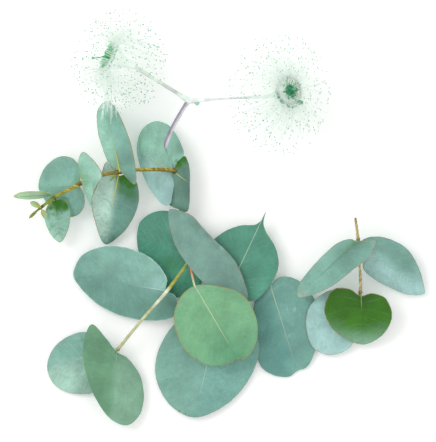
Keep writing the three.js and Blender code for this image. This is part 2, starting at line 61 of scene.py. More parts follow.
# Stem routes: the place of each point and the stem's radius there.
MAIN_ROUTE = (
    (0, -34, 1.57, 1.7), (0, -15, 1.57, 1.7), (0, 3.5, 1.57, 1.7), (0, 4, 1.57, 1.7), (3.4, 14, 4, 1.6),
    (4.2, 21, 7.4, 1.55), (-2.8, 30.6, 11.2, 1.5), (-7, 41.5, 9.6, 1.35), (-8.6, 53, 8, 1.3),
    (-11.4, 59, 8.2, 1.2), (-13.8, 66, 9, 1.2), (-13.1, 71, 11, 1.15), (-12.7, 73.9, 14.8, 1.15),
    (-13, 74.6, 18, 1.2), (-17, 75, 19.2, 1), (-31, 75, 20, 0.95), (-40, 74, 20.3, 1.1),
    (-48.5, 72.4, 21.2, 0.9), (-59.5, 68.2, 20, 1.05), (-66, 64.8, 19, 0.9), (-72.5, 61.5, 17.5, 1),
    (-79, 56.5, 16, 0.7), (-81, 55, 15.5, 0.6),
)
LOWER_ROUTE = (
    (-5.7, 29.2, 12.9, 0.95), (-16.5, 14.5, 13.8, 1.1), (-30, -1, 12.4, 0.9), (-41.5, -15.2, 10.6, 1.1),
)
RIGHT_ROUTE = (
    (5.4, 8.9, 1.7, 1.2), (11, 10.5, 1.5, 1.2), (23, 15, 1.4, 1.15), (34, 15, 1.4, 1.2), (45, 10, 1.4, 1.1),
    (56, 3.5, 1.6, 1), (67.5, 0, 2.6, 0.9), (75, 3, 5.5, 0.85), (79, 8.5, 9, 0.8), (80.2, 14, 12.5, 0.85),
    (79.8, 27, 16.5, 0.7), (78.9, 40, 19, 0.85), (77.4, 51, 21, 0.65),
)
STALK_ROUTE = (
    (-14, 75.6, 18.8, 0.5), (-15.2, 79, 17.4, 0.36), (-16.4, 83, 16.8, 0.36), (-17, 85.8, 18.2, 0.7),
    (-17, 87.4, 20.8, 1.3), (-16.2, 90, 22.8, 1.4), (-13, 97, 24, 1.3),
    (-7.5, 106.5, 24.5, 1.3), (-5.5, 109.2, 24.5, 1.5),
)
LEFT_ARM_ROUTE = (
    (-5.2, 109, 24.5, 1.9), (-8.4, 111.2, 24.7, 1.5), (-12, 113.5, 25, 1.05), (-21, 119, 25.5, 1.1),
    (-32, 126, 26, 1.35),
)
RIGHT_ARM_ROUTE = (
    (-5.5, 109.2, 24.5, 2.5), (-0.5, 109.5, 24.5, 2), (5, 109.9, 24, 1.2), (12.5, 110.5, 22, 1.05),
    (25, 111.2, 15.6, 1.2), (31.5, 111.7, 12.2, 1.5), (35, 112, 12.3, 1.8), (36.1, 112.2, 13.6, 1.9),
)
# The bud scar at the fork, the buds at two knots and the bud at the upper shoot's tip
NUB_ROUTE = (
    (-3, 108.9, 24.6, 0.78), (-1.8, 108.2, 24.6, 1.04), (-1.2, 108, 24.6, 1.3), (-0.6, 107.8, 24.6, 1.17),
    (-0.3, 107.7, 24.6, 0.52),
)
AXIL_BUDS = (
    ((-41.4, 73.2, 20, 0.6), (-44.6, 69.4, 20.6, 0.3)),
    ((-73.6, 60.6, 17.2, 0.6), (-75.2, 56.4, 16.6, 0.3)),
)
TIP_BUD = (
    (-81, 55, 15.5, 0.5), (-83.3, 52.9, 14.8, 0.95), (-84.6, 51.6, 14.4, 0.75), (-85.5, 50.7, 14.1, 0.1),
)

# The knots where a pair of leaves stands on a stem
KNOTS = (
    (-13, 74.6, 18), (-40, 74, 20.3), (-59.5, 68.2, 20), (-72.5, 61.5, 17.5), (-79, 56.5, 16),
    (-6, 30, 12), (-41.5, -15.2, 10.6), (80.2, 14, 12.5), (75, 3, 5.5), (78.9, 40, 19), (34, 15, 1.4),
    (11, 10.5, 1.5),
)

# The middle of the darker bark on the upper shoot
DARK_KNOT = (-42.5, 73.8, 20.5)

# Each leaf's outline, as points on its left and right edge from base to tip. A point's
# third number is its own height. Where it has none, the edge runs evenly from the base's
# height to the tip's, raised in the middle by the leaf's lift on that side. The midrib's
# middle is raised by arch. Where a leaf has a stalk, that is the place where it starts.
LEAVES = {
    "upper_leaf_1a": dict(
        base=(-13.4, 74.2, 17.2), end=(-31.7, 84.5, 6), arch=1.6, lift=(0.4, -1.2),
        left=((-12.6, 70), (-13.8, 62.5), (-14.8, 58.2), (-17.2, 57), (-25.4, 66)),
        right=(
            (-11.8, 78.2), (-8, 82.8), (-9.2, 87.4), (-12.2, 93.4), (-16.4, 98), (-22.4, 99.6), (-29, 95.6),
        ),
    ),
    "upper_leaf_1b": dict(
        base=(-13.4, 74.4, 16.8), end=(-5.1, 68, 12.5), arch=1.8, lift=(-0.9, -4.5),
        left=((-10.8, 79.6, 14), (-7.6, 81.9, 13.2), (-5.4, 76.6, 12.8)),
        right=((-16, 66, 11.8), (-16.2, 58.4, 9.4), (-11.6, 55.6, 9), (-6.6, 54, 9.6)),
    ),
    "upper_leaf_2a": dict(
        base=(-39.9, 74.4, 22.7), end=(-47.6, 109.4, 7), arch=1.2, lift=(-2, 8),
        left=((-44.4, 76.5), (-48.6, 85.5), (-51.4, 96), (-51.2, 105.6)),
        right=((-32.2, 67.6), (-33.4, 84.6), (-39.6, 101.5), (-43.4, 107.6)),
    ),
    "upper_leaf_2b": dict(
        base=(-40.7, 72.2, 18.4), end=(-47.6, 37.8, 3), arch=1.5, lift=(-1, 6.6),
        left=((-36.6, 73), (-31.8, 69), (-30.5, 60.4), (-34, 50), (-40.4, 42)),
        right=((-43.2, 79, 18.3), (-46.8, 78.8, 18.4), (-49.8, 71, 18.4), (-54, 60.8, 17.9), (-52.8, 50, 12)),
    ),
    "upper_leaf_3a": dict(
        base=(-59, 69.8, 22.6), end=(-48.4, 72, 26.5), arch=0.5, lift=(4, 0),
        left=((-60.2, 74.4), (-60.2, 80.4), (-57.9, 83.8), (-53.8, 80.8), (-50, 76)),
        right=((-58, 65.2, 19), (-55.9, 59.4, 11), (-53.4, 55, 7.8), (-54.2, 61, 14), (-52.2, 66.2, 20)),
    ),
    "upper_leaf_3b": dict(
        base=(-60, 67.3, 18.2), end=(-81, 66, 5), arch=1.5, lift=(-4, -2.5),
        left=((-57.7, 62), (-58.6, 55.4), (-63.5, 51.6), (-73, 55)),
        right=((-59.8, 75.8), (-63.8, 80.9), (-70.5, 81.8), (-78, 76.2)),
    ),
    "upper_leaf_4a": dict(
        base=(-73.6, 62.8, 18.6), end=(-93, 61.6, 18.5), arch=0.5, lift=(-5, 5.5),
        left=((-78, 61), (-84, 60.3), (-90, 60.5)),
        right=((-77.5, 64), (-84, 64.4), (-90, 63.6)),
    ),
    "upper_leaf_4b": dict(
        base=(-72, 59.9, 15.8), end=(-70.2, 38.7, 8), arch=1, lift=(-0.8, -0.8),
        left=((-67.4, 60.4), (-64.9, 52.3), (-66.4, 44.2)),
        right=((-75.6, 58.4), (-77.8, 51.2), (-75, 43)),
    ),
    "upper_leaf_5a": dict(
        base=(-79.6, 56.4, 17), end=(-84.6, 58.9, 20), arch=0.3, lift=(-0.5, -0.9),
        left=((-81, 56), (-82.9, 56.4), (-84.3, 57.5)),
        right=((-79.9, 57.5), (-81.1, 58.8), (-83, 59.6)),
        small=True,
    ),
    "upper_leaf_5b": dict(
        base=(-79.1, 55.2, 15.7), end=(-76.8, 50.4, 14.6), arch=0, lift=(-0.3, -0.3),
        left=((-77.9, 55.2), (-76.5, 53.6), (-76.1, 51.8)),
        right=((-79.5, 53.8), (-79.2, 52.4), (-78.1, 50.9)),
        small=True,
    ),
    "middle_leaf_1": dict(
        base=(-9.2, 54.3, 12.1), end=(23.6, 10.4, 9.6), arch=1, lift=(1.5, 4.6),
        left=((-4.4, 52.6), (3.2, 44.4), (9.2, 38.4), (11.8, 36), (17.6, 29.4), (22.2, 19)),
        right=((-15.4, 55.2), (-12.6, 38), (-6, 27.4), (2.5, 18), (14, 10.6)),
        stalk=(-8.8, 50.6, 10),
    ),
    "middle_leaf_2": dict(
        base=(-4.9, 31.2, 9.2), end=(-31.8, 42, 2.5), arch=1, lift=(-1.8, -1.2),
        left=((0.8, 17.6, 6.4), (-10.5, 11), (-21, 14.5), (-30, 31)),
        right=((-8.6, 44), (-14.4, 54), (-23, 54), (-29.8, 49.4)),
    ),
    "middle_leaf_3": dict(
        base=(-17, 14.6, 12), end=(-63.8, 22.4, 4), arch=0.5, lift=(-2.2, 2.6),
        left=((-12.6, 12.4), (-10.8, 6.6), (-13, 1.4), (-22, -0.6), (-36, 0.9), (-50, 6.6), (-60, 15.8)),
        right=((-16.4, 20.4), (-23, 29.8), (-35, 35.8), (-49, 36.7), (-59.6, 32)),
    ),
    "middle_leaf_4": dict(
        base=(-2.6, 17.2, 16), end=(18.8, -19.4, 15), arch=1.6, lift=(3, -0.6),
        left=((9.5, 17), (22, 12.2), (28.8, -2), (26.8, -14.4), (22, -19.4)),
        right=((-9.2, 12.4), (-13.1, 1), (-8.2, -14), (3.4, -22.3), (13.6, -22)),
        stalk=(-4.4, 27.6, 13.1),
    ),
    "middle_leaf_5": dict(
        base=(9.5, 2, 6), end=(-3, -49.2, 4.2), arch=0.4, lift=(-2.2, -3.2),
        left=((24.2, 0), (29.8, -12.5), (25.8, -28), (13.8, -42.4)),
        right=((-9, 1), (-21, -15.4), (-22.1, -30), (-14.6, -43.6)),
        stalk=(10.4, 9, 2.9),
    ),
    "middle_leaf_6": dict(
        base=(13.5, 13, 5), end=(32.9, 54, 9.5), arch=0.8, lift=(-1.2, 0.5),
        left=((3, 23), (4.4, 37), (11, 43.6), (20, 47.2), (27.6, 47.8), (31, 50)),
        right=((26.5, 9.4), (34.4, 16.2), (39.5, 27), (37.6, 37), (33.4, 43.6), (31.9, 48.2)),
        stalk=(11.6, 11.2, 3.1),
    ),
    "middle_leaf_7": dict(
        base=(35.2, 17.4, 4.6), end=(48.9, -26, 1.2), arch=0.4, lift=(0.9, -1.2),
        left=((41, 21.6), (50, 19.4), (57.6, 10), (59.8, -2), (57.8, -15.6), (54, -23.8)),
        right=((28, 10.6), (26.4, -1.5), (27.4, -14.6), (31, -24.2), (37.3, -28.2), (44.6, -28.9)),
        stalk=(34.2, 15.4, 2.9),
    ),
    "lower_leaf_a": dict(
        base=(-41.7, -16, 11.8), end=(-44.5, -49.8, 10.5), arch=1, lift=(-6.4, 5.5),
        left=((-36.6, -19), (-30, -28.4), (-28.3, -39.5), (-30.6, -48.4), (-36.5, -53)),
        right=((-46.6, -9.4), (-54.2, -2), (-58.3, -13), (-56.4, -28.6), (-51.2, -41)),
    ),
    "lower_leaf_b": dict(
        base=(-42.3, -15.7, 9.6), end=(-77, -23.6, 0.9), arch=0.6, lift=(-2, -1.5),
        left=((-44.4, -25.6), (-50.5, -35.4), (-62, -37.6), (-73, -33.4)),
        right=((-47.6, -11.2), (-54.6, -6.6), (-63, -7), (-73, -13.6)),
    ),
    "right_leaf_1a": dict(
        base=(78, 39.6, 20.3), end=(49.3, 11.5, 9), arch=1, lift=(7.5, -0.6),
        left=((87.2, 39.8), (84.6, 32.4), (76, 25), (66.5, 17.4), (56, 12.4)),
        right=((75.4, 40.6), (69, 38.8), (61, 31.9), (53.5, 23.6), (49, 16.8)),
    ),
    "right_leaf_1b": dict(
        base=(80.2, 39.2, 17.9), end=(112.7, 13, 3), arch=2, lift=(-0.6, -3.4),
        left=((86, 41.8), (95, 40.5), (103.5, 35.8), (109, 27.8), (111.8, 19.6)),
        right=((81.4, 32), (81.8, 25.4), (88, 20), (96, 15.6), (104.8, 12.5)),
    ),
    "right_leaf_2a": dict(
        base=(80.5, 12.2, 13.9), end=(82, -12.5, 5.2), arch=1, lift=(3, 5),
        left=((86, 13.4), (92.4, 11.2), (96.2, 2.8), (92.6, -6.4)),
        right=((74.2, 15.8), (66.2, 15.2), (62.1, 5.6), (67.4, -5.8)),
    ),
    "right_leaf_2b": dict(
        base=(73.8, 4.4, 7.4), end=(53.3, -4.5, 4.2), arch=0.4, lift=(-2.2, 0.5),
        left=((78, -5), (75.2, -14.2), (66, -17.9), (57.4, -14.8)),
        right=((76, 11.4), (69, 15.4), (60.6, 12.4), (54.4, 5.4)),
    ),
}

# What a blade looks like: the tones of its left and right half and how softly they meet, of
# its base and its tip and how far they reach, its margin and midrib, how clearly its side
# veins, dark wisps and brown specks show, how deep its dried folds are, and the share of each
# edge, from the base, without a margin. A leaf's own look names only what differs from LOOK.
# The tones of the halves, the base and the tip hold the blade's own colour and, in part,
# painted light and shade of its curve and of the leaves over it.
LOOK = dict(
    left="sage", right="sage", blend=2, base="sage", base_reach=4, tip="sage", tip_reach=4, margin="gold",
    margin_width=0.35, rib="cream", rib_width=0.22, rib_reach=0.9, veins=0.25, wisps=0.2, specks=0,
    wrinkle=0, bare=(0, 0),
)
LOOKS = {
    "upper_leaf_1a": dict(
        left="frost", right="mint", blend=9, base="grey_sage", base_reach=6, tip="mint", tip_reach=10,
        margin="mint", margin_width=0.25, rib="straw", rib_reach=0.75, wisps=0.5, bare=(0.5, 0.7),
    ),
    "upper_leaf_1b": dict(
        left="shadow_sage", right="shadow_sage", base="shadow_sage", base_reach=6, tip="shadow_sage",
        margin="sage", margin_width=0.25, rib="straw", bare=(0.62, 0.62),
    ),
    "upper_leaf_2a": dict(
        left="mint", blend=8, base="sage_green", base_reach=12, tip="pale_mint", tip_reach=12, rib="yellow",
        rib_width=0.16, rib_reach=0.4, veins=0.4, wisps=0.7, specks=0.3,
    ),
    "upper_leaf_2b": dict(
        left="grey_sage", right="pale_mint", blend=7, base="moss", base_reach=8, tip="grey_sage",
        tip_reach=5, rib="yellow", rib_width=0.16, rib_reach=0.5, veins=0.5, wisps=0.8, specks=0.3,
    ),
    "upper_leaf_3a": dict(
        left="mint", right="mint", base="spring", base_reach=7, tip="pale_mint", rib="straw", rib_reach=0.3,
    ),
    "upper_leaf_3b": dict(base="moss", base_reach=8, rib="yellow", rib_reach=0.2, wisps=0.7, specks=0.5),
    "upper_leaf_4a": dict(
        left="pale_green", right="pale_green", base="spring", base_reach=9, tip="pale_green", tip_reach=5,
        margin="yellow", margin_width=0.3, rib="spring_shade", veins=0.4,
    ),
    "upper_leaf_4b": dict(
        left="mint", right="mint", base="deep_green", base_reach=12, tip="pale_mint", tip_reach=8,
        margin="olive", rib="leaf_green", rib_width=0.14, rib_reach=0.35, wisps=0.9,
    ),
    "upper_leaf_5a": dict(
        left="pale_green", right="olive", base="yellow", tip="pale_green", margin="yellow",
        margin_width=0.3, rib="yellow", rib_width=0.18, veins=0.1,
    ),
    "upper_leaf_5b": dict(
        left="olive", right="spring", base="yellow", tip="mint", margin_width=0.3, rib="yellow",
        rib_width=0.18, veins=0.1,
    ),
    "middle_leaf_1": dict(
        left="grey_teal", right="grey_teal", blend=6, base="grey_teal", tip="grey_teal", margin="rose",
        margin_width=0.28, rib="grey_sage", rib_width=0.16, rib_reach=0.4, wisps=0.5,
    ),
    "middle_leaf_2": dict(
        left="bright_teal", right="teal", blend=8, base="bright_teal", base_reach=16, tip="teal",
        tip_reach=8, margin="teal", margin_width=0.2, rib="grey_sage", rib_reach=0.5, veins=0.45,
        wisps=0.55,
    ),
    "middle_leaf_3": dict(
        left="grey_sage", blend=9, base_reach=14, tip="grey_sage", tip_reach=22, margin="frost",
        margin_width=0.4, rib="frost", rib_reach=0.35, veins=0.45, wisps=1,
    ),
    "middle_leaf_4": dict(
        left="spring", right="spring", base="sage_green", base_reach=6, tip="spring_shade", tip_reach=26,
        margin_width=0.42, rib_width=0.24, rib_reach=0.97, veins=0.35, wisps=0.25,
    ),
    "middle_leaf_5": dict(
        left="blue_sage", blend=10, base="teal", base_reach=24, tip="blue_sage", margin="rose",
        margin_width=0.2, rib="pale_mint", rib_width=0.25, rib_reach=0.85, veins=0.35, wisps=0.4,
    ),
    "middle_leaf_6": dict(
        left="teal", right="teal", base="grey_teal", tip="rose", tip_reach=5, margin="moss",
        margin_width=0.4, rib="pale_rib", rib_width=0.3, rib_reach=1, veins=0.3, wisps=0.12,
    ),
    "middle_leaf_7": dict(
        left="blue_sage", right="blue_teal", blend=10, base_reach=8, tip="blue_sage", tip_reach=10,
        margin="grey_sage", margin_width=0.2, rib="pale_rib", rib_width=0.27, rib_reach=0.95, wisps=0.3,
    ),
    "lower_leaf_a": dict(
        left="sage_green", right="moss", blend=4, base="moss", base_reach=13, tip="sage_green",
        margin="moss", margin_width=0.25, rib="sage_green", rib_width=0.2, veins=0.3, wisps=0.3,
    ),
    "lower_leaf_b": dict(
        left="pale_sage", blend=8, base="moss", base_reach=12, margin="rose", margin_width=0.2,
        rib="pale_mint", rib_width=0.16, rib_reach=0.6, veins=0.8, wisps=0.55, wrinkle=0.2,
    ),
    "right_leaf_1a": dict(
        base="moss", base_reach=10, tip="beige_mint", tip_reach=8, margin="rose", margin_width=0.28,
        rib="moss", rib_width=0.15, rib_reach=0.7, veins=0.5, wisps=0.4,
    ),
    "right_leaf_1b": dict(
        right="frost", blend=10, base_reach=8, tip="frost", tip_reach=22, margin="brown", margin_width=0.22,
        rib="pale_sage", rib_width=0.2, rib_reach=0.3, veins=0.55, wisps=0.8,
    ),
    "right_leaf_2a": dict(
        left="deep_green", right="deep_green", base="deep_shade", base_reach=15, tip="sage_green",
        tip_reach=11, margin="rose", margin_width=0.3, rib="rib_green", rib_width=0.2, rib_reach=0.34,
        veins=0.2, wisps=0.4, specks=0.3,
    ),
    "right_leaf_2b": dict(
        left="frost", right="frost", base="teal", base_reach=5, tip="frost", margin="rose",
        margin_width=0.25, rib="pale_mint", rib_width=0.16, rib_reach=0.3, veins=0.45, wisps=0.3,
    ),
}

# Weathered spots on the blades: place, radius, and how strong the brown, the pale or the
# green stain is there. The green, dark at blade bases, is partly rubbed bloom and partly
# painted shade where the leaves of a pair overlap.
STAINS = {
    "upper_leaf_1a": ((-11.6, 79.4, 1.4, 0, 0, 0.6),),
    "upper_leaf_1b": ((-11, 78, 3.2, 0, 0, 1), (-8.4, 80.6, 3.2, 0, 0, 1), (-6.8, 79, 1.8, 0, 0, 0.6)),
    "upper_leaf_2a": (
        (-46.6, 101, 1.1, 0.3, 0, 0), (-43.4, 97, 1, 0.3, 0, 0), (-46, 93.6, 0.9, 0.25, 0, 0),
    ),
    "upper_leaf_2b": (
        (-49.4, 70.8, 0.8, 0.6, 0, 0), (-50.8, 68, 0.7, 0.65, 0, 0), (-52.4, 65.2, 0.9, 0.7, 0, 0),
        (-53.4, 62, 0.8, 0.65, 0, 0), (-53.7, 59.2, 0.7, 0.6, 0, 0), (-53.2, 56, 0.6, 0.5, 0, 0),
        (-37.8, 70.2, 4.6, 0, 0, 1), (-34.8, 67.8, 4, 0, 0, 1), (-35.2, 64, 4.4, 0, 0, 0.6),
        (-38.4, 66, 4.4, 0, 0, 0.6), (-33, 62, 3, 0, 0, 0.35),
    ),
    "upper_leaf_3b": (
        (-75.6, 67.6, 1.1, 0.4, 0, 0), (-73.6, 67, 1, 0.45, 0, 0), (-71.8, 67.6, 0.9, 0.35, 0, 0),
        (-61.5, 55.6, 1.1, 0.35, 0, 0),
    ),
    "upper_leaf_4b": ((-70.4, 57.6, 3.8, 0, 0, 1), (-67.6, 57, 3.4, 0, 0, 1), (-74.6, 56, 1.6, 0, 0, 0.8)),
    "middle_leaf_1": ((9, 39.6, 2.4, 0, 0.35, 0), (11, 36.5, 2.2, 0, 0.25, 0), (-8, 51.5, 2.5, 0, 0.2, 0)),
    "middle_leaf_2": (
        (-14, 46, 4, 0, 0.18, 0), (-9.4, 40, 3, 0, 0.15, 0), (-15, 28, 5, 0, 0, 0.3),
        (-24, 46, 1.1, 0.35, 0, 0), (-20, 52, 0.9, 0.3, 0, 0), (-14, 33, 1.2, 0.35, 0, 0),
        (-26, 38, 1, 0.3, 0, 0), (-10, 30, 1.1, 0.3, 0, 0),
    ),
    "middle_leaf_3": ((-21, 18, 6, 0, 0.35, 0), (-21, 28, 4, 0, 0.2, 0)),
    "middle_leaf_5": (
        (-12.6, -44.6, 1.1, 0.45, 0, 0), (-10.4, -46, 1.2, 0.5, 0, 0), (-7.6, -47.6, 1.1, 0.55, 0, 0),
        (-5.4, -48.4, 1, 0.5, 0, 0), (-16.5, -39, 1.2, 0.3, 0, 0),
    ),
    "middle_leaf_7": (
        (47.4, 5.2, 0.9, 0, 0.7, 0), (43.8, 5.4, 0.8, 0, 0.5, 0), (46.6, -2.6, 0.9, 0, 0.45, 0),
        (45, -8.2, 1, 0, 0.4, 0), (42, -8, 0.8, 0, 0.3, 0), (47.6, -26.4, 0.8, 0.4, 0, 0),
        (42.6, -28.6, 0.7, 0.35, 0, 0),
    ),
    "lower_leaf_a": ((-41.5, -16, 1.8, 0.8, 0, 0),),
    "right_leaf_1a": ((53, 15, 3, 0.15, 0.2, 0),),
    "right_leaf_2a": ((92, 8.4, 1, 0.4, 0, 0), (66, 12, 1.2, 0.4, 0, 0)),
}

# Painted shade (above 0) and painted light (below 0) on the blades, in broad soft clouds: place, radius,
# strength.
SHADES = {
    "upper_leaf_1a": (
        (-12.5, 71, 10, 0.34), (-14, 61, 8, 0.26), (-9, 86, 9, 0.36), (-15, 96, 9, 0.15), (-17, 78, 8, 0.1),
        (-27, 77, 9, -0.2), (-26, 89, 8, -0.22),
    ),
    "upper_leaf_1b": ((-9, 66, 40, 0.04), (-4, 66, 9, 0.2), (-13, 60, 6, -0.14), (-9, 76, 6, 0.22)),
    "upper_leaf_2a": ((-36, 80, 9, 0.3), (-35, 70, 7, 0.35), (-47, 92, 8, -0.08)),
    "upper_leaf_2b": ((-34, 62, 12, 0.25), (-44, 40, 6, 0.25), (-48, 56, 9, -0.12)),
    "upper_leaf_3a": ((-53, 62, 7, -0.3), (-60, 76, 4, 0.12)),
    "upper_leaf_3b": ((-60, 78, 5, 0.2), (-75, 74, 10, 0.16)),
    "upper_leaf_4a": ((-76, 62, 6, 0.25),),
    "middle_leaf_1": (
        (9, 38.6, 5, 0.3), (4.4, 43.4, 4.6, 0.28), (-1, 48, 4.6, 0.22), (16, 22, 9, 0.08), (14, 33, 4, 0.2),
    ),
    "middle_leaf_2": (
        (-26, 40, 10, 0.06), (-14, 30, 8, 0.08), (-16, 50, 8, -0.1), (-9, 46, 9, -0.1), (-3, 22, 10, -0.25),
        (-16, 24, 10, -0.1),
    ),
    "middle_leaf_3": (
        (-16, 8, 8, 0.1), (-13.2, 8, 6, 0.25), (-36, 8, 16, 0.1), (-50, 22, 14, 0.14), (-30, 28, 12, -0.08),
        (-22, 16, 8, -0.12),
    ),
    "middle_leaf_4": ((16, -14, 16, 0.1), (2, 12, 10, -0.08), (24, 2, 10, -0.14)),
    "middle_leaf_5": ((-14, -8, 13, 0.1), (20, -32, 14, -0.14), (-8, -34, 10, 0.06), (10, -27, 10, -0.16)),
    "middle_leaf_6": ((12, 34, 9, 0.15), (24, 18, 10, 0.05), (34, 28, 8, -0.06), (28, 14, 11, -0.42)),
    "middle_leaf_7": (
        (29, 6, 10, 0.3), (30, -9, 7, 0.1), (48, 12, 12, -0.12), (40, 2, 9, -0.14), (50, -14, 11, 0.2),
    ),
    "lower_leaf_a": ((-52, -12, 10, 0.15), (-38, -40, 12, -0.1), (-50, -34, 8, 0.1)),
    "lower_leaf_b": ((-54, -10, 9, 0.2), (-66, -30, 12, -0.3), (-56, -34, 8, 0.15)),
    "right_leaf_1a": ((72, 32, 11, 0.38), (80, 37, 7, 0.2), (57, 20, 8, -0.12)),
    "right_leaf_1b": (
        (95, 35, 8, 0.16), (103, 29, 9, 0.16), (108, 24, 8, 0.08), (88, 33, 6, -0.1), (84, 38, 7, 0.2),
        (110, 18, 6, -0.15),
    ),
    "right_leaf_2a": ((66, 12, 9, 0.3), (72, 6, 8, 0.2), (94, 8, 8, 0.15), (80, -8, 10, -0.1)),
    "right_leaf_2b": ((60, 6, 9, -0.14), (66, -8, 8, -0.06)),
}

# Blossoms: the cup's foot, the middle of its rim, the round cloud that its stamens fill with
# its reach each way, the radius that they stand from, how much they keep to the cloud's sides
# (flat), the style's end, the tuft of inner stamens (their number, the radii between which
# they stand, their height and lean), the arc of dark knobs (number and angle), the tones of
# both and of the cup's floor, and the places that bundles of white filaments run to.
BLOSSOMS = {
    "left": dict(
        foot=(-32, 126, 26), rim=(-44, 131, 27.8), cloud=(-40, 128.4, 26.4), reach=(24, 26.5, 24),
        seed=11, roots=6.6, flat=0.3, style=(-53.2, 130.2, 30), tuft=(300, 0.6, 6.6, 3, 0.8),
        arc=(14, 3.1), tones=("band", "band"), hollow="band",
        streaks=((-48.8, 101.2, 18), (-46.6, 102.6, 18), (-44, 101, 18.5), (-41.8, 103, 19.5)),
    ),
    "right": dict(
        foot=(36.5, 112.3, 14.2), rim=(44.2, 114.2, 27.2), cloud=(39.4, 112.6, 24), reach=(25.5, 31, 23.5),
        seed=23, roots=5.6, flat=0.35, style=(46.4, 114.8, 31.4), tuft=(84, 0.2, 4, 3.2, 3),
        arc=(46, 0.52), tones=("needle", "disc"), hollow="cup",
        streaks=(),
    ),
}

# How finely the pieces are made
BLADE_GRID, SMALL_GRID = (44, 64), (20, 28)
STEM_SIDES, STEM_STEP = 18, 0.45
FOOT_SIDES, RIM_SIDES = 12, 72
ROUTE_STEPS, STEM_STEPS, STALK_STEPS = 400, 300, 24
WELD_GAP = 2e-6

# Sizes on the blades and stems. The side veins' lean and curve serve the mesh and the wax alike.
VEIN_LEAN, VEIN_CURVE = 0.75, 0.012
RIB_GROOVE, FOLD_LENGTH = 0.12, 3.6
CLEAR_OF_MARGIN = 9.0
EDGE_TRIM, FOOT_SINK = 0.08, 0.12
KNOT_REACH = 1.3
# A stem's end stands out by this share of its radius.
END_BULGE = 0.12
RED_STALKED = "middle_leaf_4"
# The parts of a look that shape the blade and aren't told to its wax
SHAPE_KEYS = ("wrinkle", "bare")

# The ring that the stamens stand on, the disc inside it and how the filaments are kept apart
RING_RADIUS, RING_OUTSIDE, DISC_RADIUS = 7.3, 7.5, 6.7
LEAST_SPREAD, CLEAR_OF_STALK = 5.5, 2.4
BEAD_WIDTH, BEAD_HEIGHT = 0.36, 0.4
NEEDLE_RADIUS, FRINGE_RADIUS, SMALL_KNOB = 0.14, 0.12, 0.27
BUNDLE_SIZE, BUNDLE_START = 5, 7.4
# How high over the one filament its knob is modelled, in the filament's own length
KNOB_HEIGHT = 2

# The stage, in metres
SPRIG_MIDDLE = (0.009, 0.0495)
VIEWED_HEIGHT = 0.013
LAMP_PLACE, LAMP_SIZE = (-0.75, 0.5, 1.1), 0.7
FLOOR_GLOW = 0.12
SENSOR_WIDTH = 36

GREY, WHITE = (0.5, 0.5, 0.5), (1.0, 1.0, 1.0)


def tone(code):
    """The linear colour of a printed 0xRRGGBB colour."""
    parts = [((code >> shift) & 255) / 255 for shift in (16, 8, 0)]
    return tuple(c / 12.92 if c < 0.04045 else ((c + 0.055) / 1.055) ** 2.4 for c in parts)


def paint(label, description, code):
    """A colour that a user can change."""
    return FloatVectorProperty(name=label, description=description, subtype="COLOR", size=3, min=0, max=1,
                               default=tone(code))


def measure(label, description, size, least, most):
    """A length in metres that a user can change."""
    return FloatProperty(name=label, description=description, default=size, min=least, max=most,
                         unit="LENGTH", precision=6)


